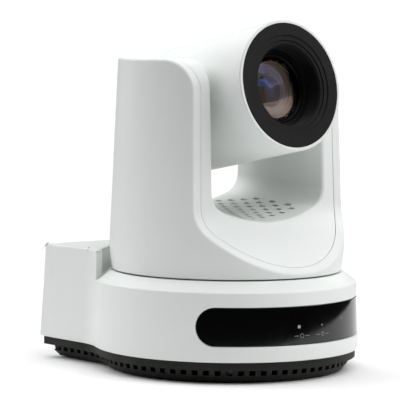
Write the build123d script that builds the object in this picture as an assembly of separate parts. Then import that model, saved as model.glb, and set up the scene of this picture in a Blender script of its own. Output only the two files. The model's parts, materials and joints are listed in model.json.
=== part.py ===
from build123d import *
import os
from math import atan2, cos, pi, radians, sin, sqrt, tan

# A desktop camera with a pan and tilt head, in millimetres. +Z is up. The rubber feet stand on
# z = 0, the pan axis is the Z axis, and the lens looks along -Y. Each head piece is drawn with
# the lens axis along Z, from the tilt axis forwards, and then placed at the head's rest angle.

# ---- driving dimensions: base ----
FOOT_PROUD = 0.8            # rubber feet below the base plate
TIER_TOP_Z = 7.1            # slotted lower tier of the base plate ends here
SHELL_Z0 = 11.5             # lower edge of the white base shell
BLOCK_TOP_Z = 62.1          # top of the block behind the pan ring
BASE_R = 71.0               # round part of the base at its lower edge
BLOCK_HALF = 58.8           # half width of the block at its lower edge
REAR_Y = 88.0               # rear face at its lower edge
NECK_R = 40.0               # hollow radius between the round part and the block
BLOCK_FACE_Y = 37.3         # front faces of the block, beside the scoop
DRAFT = 2.5                 # walls of the base lean in by this much
CHAMFER_TOP_Z = 52.0        # where the sloping ring meets the gap under the yoke
CHAMFER_SLOPE = 37.5        # angle of the sloping ring to the horizontal
SHELL_WALL = 2.2
SHELL_EDGE_R = 0.8          # rounding on the block's upper edges
PLATE_FLOOR = 2.5
PLATE_INSET = 1.7           # base plate flange inside the shell's outline
TIER_INSET = 4.8            # lower tier at its top
TIER_TUCK = 3.2             # how much further in the tier's bottom edge is
TIER_WALL = 2.3
VENT_PITCH = 6.0            # slots round the lower tier
VENT_WIDTH = 3.2
VENT_H = 3.0
FOOT_R = 6.5
FOOT_H = 1.8

# ---- driving dimensions: front window ----
WINDOW_Z = 29.5             # centre height
WINDOW_H = 19.6
WINDOW_HALF_ANGLE = 53.4
WINDOW_GAP = 0.15
WINDOW_FLANGE = 2.0

# ---- driving dimensions: inside the base ----
POST_R = 3.6                # screw posts under the shell
POST_PLACES = [(side * x, y) for x, y in ((33.5, -44), (56, 8), (44, 73)) for side in (-1, 1)]
FOOT_PLACES = [(side * x, y) for x, y in ((30, -34), (40, 58)) for side in (-1, 1)]
STANDOFF_PLACES = [(x, y) for x in (-38, 38) for y in (62, 77)]
STANDOFF_R = 2.5
LEG_PLACES = [(40 * cos(radians(a)), 40 * sin(radians(a))) for a in (-20, 110, 225)]
LEG_R = 4.0
INSERT_R = 6.0              # brass insert with the tripod thread
LIGHT_TURNS = (-8.6, 4.0)   # lights behind the window, degrees from the front
LIGHT_R = 1.5
RECEIVER_TURNS = (-22, 18.2)
RECEIVER_R = 2.5
BOARD_T = 1.6               # circuit boards
BOARD_Z = 16.5              # underside of the main board
BOARD_HALF = 48.0
BOARD_FRONT_Y = 54.0
PANEL_Z = (15.0, 41.0)      # rear opening in the shell
PANEL_HALF = 46.0
PANEL_LAP = 2.5             # the panel overlaps the opening by this much
PANEL_T = 1.5
SOCKET_NOSE = 0.6           # sockets stand this far out of the panel
RECT_SOCKETS = {            # centre along X, width, height, depth
    "lan_socket": (-31.0, 15.5, 13.3, 20.0),
    "hdmi_socket": (-13.0, 15.0, 6.0, 12.0),
    "usb_socket": (2.0, 12.0, 11.0, 16.0),
}
ROUND_SOCKETS = {           # centre along X, opening radius, body half width, depth
    "serial_socket": (15.5, 4.6, 6.5, 13.0),
    "audio_socket": (26.5, 1.8, 3.8, 12.0),
    "power_socket": (35.0, 3.2, 4.5, 12.0),
}
SWITCH_AT = (-13.0, 33.5)   # rocker centre along X and its height
SWITCH_W = 12.0
SWITCH_H = 8.0
SWITCH_DEEP = 9.0
ROCKER_PIN_R = 1.2

# ---- driving dimensions: pan drive ----
SPINDLE_R = 12.0
SPINDLE_BORE_R = 9.5        # the leads to the head pass through it
PAN_BEARING_R = 16.0
PAN_BEARING_H = 7.0
PILLAR_WALL = 3.5
CHASSIS_Z = 14.0
CHASSIS_T = 2.0
CHASSIS_R = 46.0
TOOTH_PITCH = 2.0           # toothed belts
PAN_TEETH = 90
TILT_TEETH = 54
MOTOR_TEETH = 18
BELT_T = 1.4
BELT_W = 4.0
BELT_GAP = 0.35             # belt to pulley rim
BELT_SIDE = 0.5             # belt to pulley flange
FLANGE_T = 1.0              # pulley flange
PAN_BELT_Z = 39.5
PAN_MOTOR_AT = (37.0, 36.0)
PAN_MOTOR_R = 16.0
PAN_MOTOR_H = 20.0
PAN_SHAFT_R = 2.5
TURNTABLE_T = 2.5
TABLE_PLACES = [(24.5 * cos(radians(a)), 24.5 * sin(radians(a))) for a in (45, 135, 225, 315)]
SHELL_SCREW_PLACES = [(side * 30, y) for y in (-30, 30) for side in (-1, 1)]

# ---- driving dimensions: yoke ----
YOKE_R = 62.5               # widest
YOKE_WIDE_Z = 72.0          # height of the widest ring
YOKE_FOOT_R = 61.2
YOKE_DRAFT = 2.22
YOKE_GAP = 0.8              # above the base
ARM_TOP_Z = 164.8
CHANNEL_HALF = 38.5         # inner faces of the arms
CHANNEL_CORNER_R = 11.0
CHANNEL_ARC_R = 88.0        # the channel floor is hollow from side to side
FLOOR_Z = 82.3              # channel floor at the pan axis
FLOOR_SLOPE = 3.5
FACE_Y = 30.4               # arm fronts at the top, ahead of the pan axis
FACE_LEAN = 2.3             # they lean forward going down
ARM_REAR_Y = 34.4           # arm backs at the top
CHIN_SLOPE = 43.0
CHIN_FOOT_Y = 63.5          # where the chin line meets the foot of the yoke
CHIN_BLEND_R = 20.0
ARM_FRONT_R = 17.0
ARM_BACK_R = 3.5
YOKE_EDGE_R = 1.8
YOKE_WALL = 2.2
SEAM_INSET = 4.3            # joint between the two yoke covers
SEAM_GAP = 0.25
SCOOP_GAP = 4.2             # between the yoke and the block
FLOOR_SLOT_PITCH = 7.0
FLOOR_SLOT_L = 2.2          # across
FLOOR_SLOT_W = 4.4          # front to back
FLOOR_SLOT_ROWS = 9
FLOOR_ROW_PITCH = 6.4
BOSS_R = 4.0
BRACKET_T = 2.0             # tilt frame sheet
BRACKET_HALF_Y = 16.0

# ---- driving dimensions: head ----
TILT_Z = 142.3              # height of the tilt axis
REST_TILT = 10.9            # the lens looks up by this much at rest
HEAD_R = 34.4
HEAD_FRONT = 50.0           # bezel plane ahead of the tilt axis
HEAD_REAR = 46.0
HEAD_WALL = 1.7
HEAD_SEAM = -16.0
CAP_EDGE_R = 9.0
BEZEL_GAP = 0.05
BEZEL_STEPS = ((26.2, 0.5), (23.6, 1.1), (21.7, 1.7))   # radius and depth of each step
TUNNEL_R = 20.6
TUNNEL_DEPTH = 11.0
FRONT_RING_R = 18.3
GLASS_R = 16.4
GLASS_BULGE = 2.2
LENS_TUBE_R = 21.0
LENS_TUBE_BORE_R = 19.4
LENS_TUBE_REAR = -22.0
ROD_R = 1.0
ROD_AT_R = 17.2
CARRIER_R = 15.4
ZOOM_AT = 13.0
FOCUS_AT = -7.0
IRIS_AT = 1.5
SENSOR_AT = -17.0
ROD_TURNS = (90, 270)
CARRIER_H = 5.0
SLEEVE_HALF = 4.0           # long sleeve on one guide rod
EYE_HALF = 1.2              # short eye on the other rod
ZOOM_LENS_R = 11.5
FOCUS_LENS_R = 9.5
IRIS_T = 2.4
IRIS_BORE_R = 8.0
BLADE_T = 0.3
BLADE_HALF = 9.0
BLADE_NEAR = 5.0            # past the axis
BLADE_FAR = 12.8            # short of the guide rods when the iris is wide open
CHEEK_X = (27.0, 29.5)      # cheeks of the head frame
CHEEK_HALF = 12.0
FIN_PITCH = 4
TRUNNION_R = 9.0
TRUNNION_BORE_R = 5.0
TILT_BEARING_R = 13.0
TILT_BEARING_H = 4.0
HUB_R = 13.0                # collar between the head and each arm
TILT_MOTOR_R = 10.0
TILT_MOTOR_Z = 68.5
TILT_SHAFT_R = 2.0
RUNNING = 0.05              # radial play of a shaft or rod in its bore
CLEAR = 0.3                 # free space beside moving pieces
SCREW_R = 1.5
SCREW_HEAD_R = 2.8
SCREW_HEAD_H = 1.8
TRIPOD_R = 2.7              # inside the thread of a quarter-inch tripod screw
TRIPOD_DEPTH = 8.0

# ---- values that follow ----
SPREAD = tan(radians(DRAFT))
SCOOP_R = YOKE_R + SCOOP_GAP
YOKE_Z0 = CHAMFER_TOP_Z + YOKE_GAP
YOKE_SPREAD = tan(radians(YOKE_DRAFT))
YOKE_TOP_R = YOKE_R - YOKE_SPREAD * (ARM_TOP_Z - YOKE_WIDE_Z)
PLATE_Z0 = FOOT_PROUD
PLATE_FLOOR_Z = PLATE_Z0 + PLATE_FLOOR
CEILING_Z = CHAMFER_TOP_Z - SHELL_WALL
PAN_PULLEY_R = PAN_TEETH * TOOTH_PITCH / (2 * pi)
TILT_PULLEY_R = TILT_TEETH * TOOTH_PITCH / (2 * pi)
MOTOR_PULLEY_R = MOTOR_TEETH * TOOTH_PITCH / (2 * pi)
OPENING_R = PAN_PULLEY_R + 6.0      # hole in the shell under the turntable
PANEL_Y = REAR_Y - SHELL_WALL - (PANEL_Z[1] + PANEL_LAP - SHELL_Z0) * SPREAD - 0.4
HEAD = Pos(0, 0, TILT_Z) * Rot(90 - REST_TILT, 0, 0)
NODES = {}


def cyl(radius, z0, z1, at=(0, 0)):
    """Upright cylinder between two heights."""
    return Pos(at[0], at[1], (z0 + z1) / 2) * Cylinder(radius, z1 - z0)


def block(x0, x1, y0, y1, z0, z1):
    """Box between two corners."""
    return Pos((x0 + x1) / 2, (y0 + y1) / 2, (z0 + z1) / 2) * Box(x1 - x0, y1 - y0, z1 - z0)


def tube(outer, inner, z0, z1, at=(0, 0)):
    """Upright ring between two heights."""
    return cyl(outer, z0, z1, at) - cyl(inner, z0 - 1, z1 + 1, at)


def xcyl(radius, x0, x1, y=0.0, z=TILT_Z):
    """Cylinder along X between two places."""
    return Pos((x0 + x1) / 2, y, z) * Rot(0, 90, 0) * Cylinder(radius, x1 - x0)


def xtube(outer, inner, x0, x1, y=0.0, z=TILT_Z):
    """Ring along X between two places."""
    return xcyl(outer, x0, x1, y, z) - xcyl(inner, x0 - 1, x1 + 1, y, z)


def rounded_face(corners):
    """Flat face through the corners, each given with its rounding radius."""
    face = make_face(Polyline(*[(u, v) for u, v, _ in corners], close=True))
    for u, v, radius in corners:
        if radius:
            corner = face.vertices().sort_by_distance((u, v, 0))[0]
            face = fillet(corner, radius)
    return face


def group(pieces):
    """Several separate solids that share one node."""
    return Compound(children=[solid for piece in pieces for solid in piece.solids()])


def keep(node, shape):
    """Remember a finished node by its name."""
    NODES[node] = shape


def screws(places, z_head, length, up=True):
    """Pan-head screws with a cross recess: heads at z_head, shanks up or down from there."""
    made = []
    way = 1 if up else -1
    for x, y in places:
        ends = sorted((z_head, z_head - way * SCREW_HEAD_H))
        head = cyl(SCREW_HEAD_R, ends[0], ends[1], (x, y))
        ends = sorted((z_head, z_head + way * length))
        shank = cyl(SCREW_R, ends[0], ends[1], (x, y))
        face = z_head - way * SCREW_HEAD_H
        for turn in (0, 90):
            slot = Pos(x, y, face) * Rot(0, 0, turn) * Box(0.8, 3.2, 1.6)
            head = head - slot
        made.append(head + shank)
    return made


# ---- base ----
def base_outline(inset):
    """Plan of the round base with the block behind it, drawn smaller by the inset."""
    radius = BASE_R - inset
    half = BLOCK_HALF - inset
    neck = NECK_R + inset
    rear = REAR_Y - inset
    side_y = sqrt((radius + neck) ** 2 - (half + neck) ** 2)
    share = radius / (radius + neck)
    join_x = (half + neck) * share
    join_y = side_y * share
    bend = atan2(side_y, half + neck) / 2
    mid_x = half + neck - neck * cos(bend)
    mid_y = side_y - neck * sin(bend)
    return make_face([
        ThreePointArc((-join_x, join_y), (0, -radius), (join_x, join_y)),
        ThreePointArc((join_x, join_y), (mid_x, mid_y), (half, side_y)),
        Line((half, side_y), (half, rear)),
        Line((half, rear), (-half, rear)),
        Line((-half, rear), (-half, side_y)),
        ThreePointArc((-half, side_y), (-mid_x, mid_y), (-join_x, join_y)),
    ])


def above_ring(inset):
    """Everything above the sloping ring, in front of the block and inside its scoop."""
    slope = radians(CHAMFER_SLOPE)
    top = CHAMFER_TOP_Z - inset
    low = CHAMFER_TOP_Z - 12.0

    def ring_r(z):
        return YOKE_R - (inset + cos(slope) * (z - CHAMFER_TOP_Z)) / sin(slope)

    high = BLOCK_TOP_Z + 5
    reach = BASE_R + 10
    space = block(-reach, reach, -reach, BLOCK_FACE_Y + inset, low, high)
    space = space + cyl(SCOOP_R + inset, low, high)
    ring = Pos(0, 0, (low + top) / 2) * Cone(ring_r(low), ring_r(top), top - low)
    return space - ring


def base_form(inset, z0=SHELL_Z0):
    """The base's outer form, drawn smaller by the inset."""
    top = BLOCK_TOP_Z - inset
    lean_low = (z0 - SHELL_Z0) * SPREAD
    lean_high = (top - SHELL_Z0) * SPREAD
    lower = Pos(0, 0, z0) * base_outline(inset + lean_low)
    upper = Pos(0, 0, top) * base_outline(inset + lean_high)
    return loft([lower, upper], ruled=True) - above_ring(inset)


def wall_cone(inset, z0, z1):
    """Round wall of the base between two heights, drawn smaller by the inset."""
    lower = BASE_R - inset - (z0 - SHELL_Z0) * SPREAD
    upper = BASE_R - inset - (z1 - SHELL_Z0) * SPREAD
    return Pos(0, 0, (z0 + z1) / 2) * Cone(lower, upper, z1 - z0)


def window_reach(grow):
    """Round-ended band round the front of the base, grown by a margin."""
    half_h = WINDOW_H / 2 + grow
    end_turn = WINDOW_HALF_ANGLE - WINDOW_H / 2 / BASE_R * 180 / pi
    reach = BASE_R + 6
    inner = BASE_R - 14
    band = tube(reach, inner, WINDOW_Z - half_h, WINDOW_Z + half_h)
    corner = (3 * reach * sin(radians(end_turn)), -3 * reach * cos(radians(end_turn)))
    wedge = make_face(Polyline((0, 0), corner, (0, -4 * reach), (-corner[0], corner[1]), close=True))
    band = band & extrude(wedge, BLOCK_TOP_Z)
    for side in (-1, 1):
        turned = Rot(0, 0, side * end_turn)
        middle = Pos(0, -(reach + inner) / 2, WINDOW_Z)
        band = band + turned * middle * Rot(90, 0, 0) * Cylinder(half_h, reach - inner)
    return band




def base_shell():
    """White cover of the base, open below, with the window band and the rear opening."""
    outer = base_form(0)
    sharp = outer.edges().filter_by(lambda e: abs(e.center().Z - BLOCK_TOP_Z) < 0.01)
    outer = fillet(sharp, SHELL_EDGE_R)
    shell = outer - base_form(SHELL_WALL, SHELL_Z0 - 0.01)
    shell = shell - cyl(OPENING_R, CEILING_Z - 5, CHAMFER_TOP_Z + 5)
    shell = shell - window_reach(WINDOW_GAP)
    rear_cut = block(-PANEL_HALF, PANEL_HALF, PANEL_Y - 5, REAR_Y + 5, *PANEL_Z)
    shell = shell - rear_cut
    posts = [cyl(POST_R, PLATE_FLOOR_Z + 0.05, BLOCK_TOP_Z, at) for at in POST_PLACES]
    rooms = base_form(SHELL_WALL - 0.4, PLATE_FLOOR_Z)
    for post in posts:
        shell = shell + (post & rooms)
    for at in POST_PLACES:
        shell = shell - cyl(SCREW_R, PLATE_FLOOR_Z - 1, PLATE_FLOOR_Z + 12, at)
    return shell


def base_plate():
    """Black bottom moulding: a flange under the shell and a tucked-in tier with vent slots."""
    heights = (PLATE_Z0, PLATE_Z0 + TIER_TUCK, TIER_TOP_Z)
    insets = (TIER_INSET + TIER_TUCK, TIER_INSET + 0.25 * TIER_TUCK, TIER_INSET)
    faces = [Pos(0, 0, z) * base_outline(inset) for z, inset in zip(heights, insets)]
    tier = loft(faces[:2], ruled=True) + loft(faces[1:], ruled=True)
    flange = Pos(0, 0, TIER_TOP_Z) * extrude(base_outline(PLATE_INSET), SHELL_Z0 - TIER_TOP_Z)
    lip_inset = SHELL_WALL + 0.2
    lip = Pos(0, 0, SHELL_Z0) * extrude(base_outline(lip_inset), 2.0)
    room_inset = TIER_INSET + TIER_TUCK + TIER_WALL
    room = Pos(0, 0, PLATE_FLOOR_Z) * extrude(base_outline(room_inset), SHELL_Z0)
    above = Pos(0, 0, SHELL_Z0) * extrude(base_outline(lip_inset + 1.4), 5.0)
    plate = tier + flange + lip - room - above
    line = base_outline(TIER_INSET).wires()[0]
    count = int(line.length / VENT_PITCH)
    slots = []
    for i in range(count):
        spot = line @ (i / count)
        way = line % (i / count)
        turn = atan2(way.Y, way.X) * 180 / pi
        reach = 2 * (TIER_TUCK + TIER_WALL) + 1
        middle = TIER_TOP_Z - VENT_H / 2
        slots.append(Pos(spot.X, spot.Y, middle) * Rot(0, 0, turn) * Box(VENT_WIDTH, reach, VENT_H))
    plate = plate - slots
    for at in POST_PLACES:
        plate = plate - cyl(SCREW_R + 0.3, PLATE_Z0 - 1, PLATE_FLOOR_Z + 1, at)
        plate = plate - cyl(SCREW_HEAD_R + 0.4, PLATE_Z0 - 1, PLATE_Z0 + SCREW_HEAD_H, at)
    for at in FOOT_PLACES:
        plate = plate - cyl(FOOT_R, PLATE_Z0 - 1, PLATE_Z0 + FOOT_H - FOOT_PROUD, at)
    for at in STANDOFF_PLACES:
        plate = plate + cyl(STANDOFF_R, PLATE_FLOOR_Z - 0.5, BOARD_Z, at)
    plate = plate + cyl(INSERT_R + 3, PLATE_Z0, TRIPOD_DEPTH + 1.0)
    return plate - cyl(INSERT_R, -1, TRIPOD_DEPTH)


PLATE_SCREW_Z = PLATE_Z0 + SCREW_HEAD_H

keep("base_shell", base_shell())
keep("base_plate", base_plate())
keep("tripod_insert", tube(INSERT_R, TRIPOD_R, 0, TRIPOD_DEPTH))
keep("rubber_feet", group([cyl(FOOT_R, 0, FOOT_H, at) for at in FOOT_PLACES]))
keep("base_screws", group(screws(POST_PLACES, PLATE_SCREW_Z, 10)))


def ir_window():
    """Dark curved window, flush with the wall, with a glue flange behind it."""
    z0 = WINDOW_Z - WINDOW_H
    z1 = WINDOW_Z + WINDOW_H
    back = SHELL_WALL + 0.05
    pane = wall_cone(WINDOW_GAP, z0, z1) - wall_cone(back, z0 - 1, z1 + 1)
    flange = wall_cone(back, z0, z1) - wall_cone(back + 1.2, z0 - 1, z1 + 1)
    return (pane & window_reach(0)) + (flange & window_reach(WINDOW_FLANGE))


def behind_window(turn, z, radius, length):
    """Small cylinder that points out behind the window."""
    front = BASE_R - SHELL_WALL - 2.0 - (z + radius - SHELL_Z0) * SPREAD
    place = Rot(0, 0, turn) * Pos(0, -front + length / 2, z) * Rot(90, 0, 0)
    return place * Cylinder(radius, length)


keep("ir_window", ir_window())
keep("indicator_lights", group([behind_window(turn, WINDOW_Z, LIGHT_R, 5) for turn in LIGHT_TURNS]))
keep("ir_receivers", group([behind_window(turn, WINDOW_Z, RECEIVER_R, 4) for turn in RECEIVER_TURNS]))

# Front board: a narrow board that carries the lights and the receivers.
FRONT_BOARD_R = BASE_R - SHELL_WALL - 2.0 - 7.5
keep("front_board", tube(FRONT_BOARD_R, FRONT_BOARD_R - BOARD_T, WINDOW_Z - 6, WINDOW_Z + 6)
     & block(-27, 27, -BASE_R, -20, 0, BLOCK_TOP_Z))


# ---- chassis, boards and sockets ----
PILLAR_R = PAN_BEARING_R + PILLAR_WALL
PILLAR_TOP = CEILING_Z - 0.6


def base_chassis():
    """Metal plate on four legs with the pillar that holds the pan bearing and the motor."""
    made = cyl(CHASSIS_R, CHASSIS_Z, CHASSIS_Z + CHASSIS_T)
    made = made + cyl(PAN_MOTOR_R + 3, CHASSIS_Z, CHASSIS_Z + CHASSIS_T, PAN_MOTOR_AT)
    made = made + cyl(PILLAR_R, CHASSIS_Z, PILLAR_TOP)
    for at in LEG_PLACES:
        made = made + cyl(LEG_R, PLATE_FLOOR_Z, CHASSIS_Z, at)
        made = made - cyl(SCREW_R, PLATE_FLOOR_Z - 1, CHASSIS_Z + CHASSIS_T + 1, at)
    made = made - cyl(PAN_BEARING_R, PILLAR_TOP - PAN_BEARING_H, PILLAR_TOP + 1)
    made = made - cyl(SPINDLE_R + 1.5, CHASSIS_Z - 1, PILLAR_TOP)
    return made


PAN_MOTOR_Z = CHASSIS_Z + CHASSIS_T
keep("base_chassis", base_chassis())
keep("chassis_screws", group(screws(LEG_PLACES, CHASSIS_Z + CHASSIS_T, 9, up=False)))
keep("pan_bearing", tube(PAN_BEARING_R, SPINDLE_R + RUNNING, PILLAR_TOP - PAN_BEARING_H, PILLAR_TOP))
keep("pan_motor", cyl(PAN_MOTOR_R, PAN_MOTOR_Z, PAN_MOTOR_Z + PAN_MOTOR_H, PAN_MOTOR_AT)
     - cyl(PAN_SHAFT_R + RUNNING, PAN_MOTOR_Z + 6, PAN_MOTOR_Z + PAN_MOTOR_H + 1, PAN_MOTOR_AT))

BOARD_TOP = BOARD_Z + BOARD_T
BOARD_Y = (BOARD_FRONT_Y, PANEL_Y - PANEL_T - 0.5)


def rect_socket(x, width, height, depth):
    """Square socket on the board: a metal case with a tongue inside, open to the rear."""
    rear = PANEL_Y + SOCKET_NOSE
    z0 = BOARD_TOP
    case = block(x - width / 2, x + width / 2, rear - depth, rear, z0, z0 + height)
    room = block(x - width / 2 + 0.8, x + width / 2 - 0.8, rear - depth + 2, rear + 1,
                 z0 + 0.8, z0 + height - 0.8)
    tongue = block(x - width / 3, x + width / 3, rear - depth + 1, rear - 1.5,
                   z0 + height * 0.42, z0 + height * 0.58)
    return case - room + tongue


def round_socket(x, radius, half, depth):
    """Round socket on the board: a moulded body with a bore, open to the rear."""
    rear = PANEL_Y + SOCKET_NOSE
    z = BOARD_TOP + half
    body = block(x - half, x + half, PANEL_Y - depth, PANEL_Y - PANEL_T - 0.05,
                 BOARD_TOP, BOARD_TOP + 2 * half)

    def along(r, y0, y1):
        return Pos(x, (y0 + y1) / 2, z) * Rot(90, 0, 0) * Cylinder(r, y1 - y0)

    nose = along(radius + 0.7, PANEL_Y - depth, rear)
    return body + nose - along(radius, PANEL_Y - depth + 3, rear + 1)


def rear_panel():
    """Metal panel behind the rear opening, with a hole for each socket and the switch."""
    lap = PANEL_LAP
    panel = block(-PANEL_HALF - lap, PANEL_HALF + lap, PANEL_Y - PANEL_T, PANEL_Y,
                  PANEL_Z[0] - lap, PANEL_Z[1] + lap)
    for x, width, height, _ in RECT_SOCKETS.values():
        panel = panel - block(x - width / 2 - 0.2, x + width / 2 + 0.2, PANEL_Y - 5, PANEL_Y + 5,
                              BOARD_TOP - 0.2, BOARD_TOP + height + 0.2)
    for x, radius, half, _ in ROUND_SOCKETS.values():
        hole = Pos(x, PANEL_Y, BOARD_TOP + half) * Rot(90, 0, 0) * Cylinder(radius + 0.9, 10)
        panel = panel - hole
    x, z = SWITCH_AT
    return panel - block(x - SWITCH_W / 2 - 0.1, x + SWITCH_W / 2 + 0.1, PANEL_Y - 5, PANEL_Y + 5,
                         z - SWITCH_H / 2 - 0.1, z + SWITCH_H / 2 + 0.1)


def main_board():
    """Green board with the processor and its heat spreader."""
    board = block(-BOARD_HALF, BOARD_HALF, *BOARD_Y, BOARD_Z, BOARD_TOP)
    for x in (-30, 0, 26):
        board = board + block(x - 6, x + 6, BOARD_Y[0] + 1, BOARD_Y[0] + 9, BOARD_TOP, BOARD_TOP + 1.6)
    for at in POST_PLACES:
        board = board - cyl(POST_R + 0.5, 0, BLOCK_TOP_Z, at)
    return board


keep("main_board", main_board())
keep("rear_panel", rear_panel())
for node, sizes in RECT_SOCKETS.items():
    keep(node, rect_socket(*sizes))
for node, sizes in ROUND_SOCKETS.items():
    keep(node, round_socket(*sizes))

# Power switch: a frame snapped into the panel and a rocker that tips in it.
SW_X, SW_Z = SWITCH_AT
ROCKER_Y = PANEL_Y - 1.5


def switch_body():
    """Frame of the power switch with a pocket for the rocker and its two pivot holes."""
    half_w, half_h = SWITCH_W / 2, SWITCH_H / 2
    body = block(SW_X - half_w, SW_X + half_w, PANEL_Y - SWITCH_DEEP, PANEL_Y + 0.8,
                 SW_Z - half_h, SW_Z + half_h)
    body = body - block(SW_X - half_w + 1.2, SW_X + half_w - 1.2, PANEL_Y - SWITCH_DEEP + 2, PANEL_Y + 5,
                        SW_Z - half_h + 1.0, SW_Z + half_h - 1.0)
    return body - xcyl(ROCKER_PIN_R + RUNNING, SW_X - half_w + 0.5, SW_X + half_w - 0.5,
                       ROCKER_Y, SW_Z)


def switch_rocker():
    """Rocker: a cylinder sector on two pins."""
    half_w = SWITCH_W / 2 - 1.2 - CLEAR
    half_h = SWITCH_H / 2 - 1.0 - CLEAR
    cap = xcyl(half_h, SW_X - half_w, SW_X + half_w, ROCKER_Y, SW_Z)
    cap = cap + (xcyl(half_h + 1.6, SW_X - half_w, SW_X + half_w, ROCKER_Y, SW_Z)
                 & block(SW_X - half_w, SW_X + half_w, ROCKER_Y, ROCKER_Y + 9,
                         SW_Z - half_h * 0.7, SW_Z + half_h * 0.7))
    pin = SWITCH_W / 2 - 0.6
    return cap + xcyl(ROCKER_PIN_R, SW_X - pin, SW_X + pin, ROCKER_Y, SW_Z)


keep("switch_body", switch_body())
keep("power_rocker", switch_rocker())


# ---- pan drive ----
def toothed(radius, count, bore, z0, z1):
    """Toothed belt pulley with two flanges; teeth are shallow round grooves."""
    grooves = Sketch() + [loc * Circle(0.55) for loc in PolarLocations(radius, count)]
    rim = extrude(Circle(radius) - grooves, z1 - z0)
    wheel = Pos(0, 0, z0) * rim
    for low in (z0 - FLANGE_T, z1):
        wheel = wheel + cyl(radius + 1.2, low, low + FLANGE_T)
    return wheel - cyl(bore, z0 - 3, z1 + 3) if bore else wheel


def belt_loop(big_r, small_r, centre):
    """Flat belt round two pulleys: the first at the origin, the second at the centre given."""
    def band(extra):
        rings = [Circle(big_r + extra), Pos(*centre) * Circle(small_r + extra)]
        return make_hull([e for ring in rings for e in ring.edges()])

    return extrude(band(BELT_GAP + BELT_T) - band(BELT_GAP), BELT_W)


PULLEY_RIM_W = BELT_W + 2 * BELT_SIDE
PAN_RIM_Z = PAN_BELT_Z - BELT_SIDE
PAN_RIM_TOP = PAN_RIM_Z + PULLEY_RIM_W
NECK_IN_R = PILLAR_R + 1.5
TURNTABLE_Z = YOKE_Z0 + 0.2
TURNTABLE_R = YOKE_FOOT_R - YOKE_WALL - 2.0


def pan_pulley():
    """Large ring pulley that hangs round the pillar from the turntable."""
    rim = toothed(PAN_PULLEY_R, PAN_TEETH, NECK_IN_R, PAN_RIM_Z, PAN_RIM_TOP)
    neck = tube(NECK_IN_R + 4.5, NECK_IN_R, PAN_RIM_TOP, TURNTABLE_Z)
    ring = rim + neck
    for at in TABLE_PLACES:
        ring = ring - cyl(SCREW_R, TURNTABLE_Z - 8, TURNTABLE_Z + 1, at)
    return ring


def turntable():
    """Metal disc that carries the whole yoke, with the hollow spindle below it."""
    disc = cyl(TURNTABLE_R, TURNTABLE_Z, TURNTABLE_Z + TURNTABLE_T)
    spindle = cyl(SPINDLE_R, PILLAR_TOP - PAN_BEARING_H - 2, TURNTABLE_Z)
    disc = disc + spindle - cyl(SPINDLE_BORE_R, 0, TURNTABLE_Z + TURNTABLE_T + 1)
    for at in TABLE_PLACES:
        disc = disc - cyl(SCREW_R + 0.2, TURNTABLE_Z - 1, TURNTABLE_Z + TURNTABLE_T + 1, at)
    for at in SHELL_SCREW_PLACES:
        disc = disc - cyl(SCREW_R + 0.2, TURNTABLE_Z - 1, TURNTABLE_Z + TURNTABLE_T + 1, at)
        disc = disc - cyl(SCREW_HEAD_R + 0.3, TURNTABLE_Z - 1, TURNTABLE_Z + SCREW_HEAD_H, at)
    return disc


PAN_SMALL = toothed(MOTOR_PULLEY_R, MOTOR_TEETH, 0, PAN_RIM_Z, PAN_RIM_TOP)
PAN_SHAFT = cyl(PAN_SHAFT_R, PAN_MOTOR_Z + 7, PAN_RIM_TOP + 1)
keep("pan_pulley", pan_pulley())
keep("turntable", turntable())
keep("turntable_screws", group(screws(TABLE_PLACES, TURNTABLE_Z + TURNTABLE_T, 7, up=False)))
keep("pan_motor_pulley", Pos(*PAN_MOTOR_AT, 0) * (PAN_SMALL + PAN_SHAFT))
keep("pan_belt", Pos(0, 0, PAN_BELT_Z) * belt_loop(PAN_PULLEY_R, MOTOR_PULLEY_R, PAN_MOTOR_AT))


# ---- yoke ----
def yoke_round(inset):
    """Tapered round body of the yoke, before it is cut away front, back and middle."""
    foot = YOKE_Z0 if inset == 0 else YOKE_Z0 - 8
    foot_at = (YOKE_FOOT_R - inset, foot)
    wide_at = (YOKE_R - inset, YOKE_WIDE_Z)
    top_at = (YOKE_TOP_R - inset, ARM_TOP_Z - inset)
    side = make_face([
        Polyline(foot_at, (0, foot), (0, ARM_TOP_Z - inset), top_at),
        Line(top_at, wide_at),
        TangentArc(wide_at, foot_at, tangent=(YOKE_SPREAD, -1)),
    ])
    return revolve(Plane.XZ * side, Axis.Z)


def yoke_side(inset):
    """Side view of the yoke as (y, z) corners, each with its rounding."""
    lean = tan(radians(FACE_LEAN))
    rise = tan(radians(CHIN_SLOPE))
    foot = YOKE_Z0 if inset == 0 else YOKE_Z0 - 8
    top = ARM_TOP_Z - inset
    slack = inset / cos(radians(CHIN_SLOPE))

    def line(face_y, foot_y):
        # The face leans out going down and meets the chin line at this height.
        chin_0 = YOKE_Z0 - slack + rise * foot_y
        corner_z = (chin_0 - rise * (face_y - inset + lean * ARM_TOP_Z)) / (1 - rise * lean)
        corner_y = face_y - inset + lean * (ARM_TOP_Z - corner_z)
        return corner_y, corner_z, (chin_0 - foot) / rise

    front_y, front_z, front_foot = line(FACE_Y, CHIN_FOOT_Y)
    back_y, back_z, back_foot = line(ARM_REAR_Y, CHIN_FOOT_Y + ARM_REAR_Y - FACE_Y)
    top_f = FACE_Y - inset + lean * inset
    top_b = ARM_REAR_Y - inset + lean * inset
    return [
        (-top_f, top, max(ARM_FRONT_R - inset, 1)), (top_b, top, max(ARM_BACK_R - inset, 1)),
        (back_y, back_z, CHIN_BLEND_R + inset), (back_foot, foot, 0),
        (-front_foot, foot, 0), (-front_y, front_z, CHIN_BLEND_R + inset),
    ]


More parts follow.
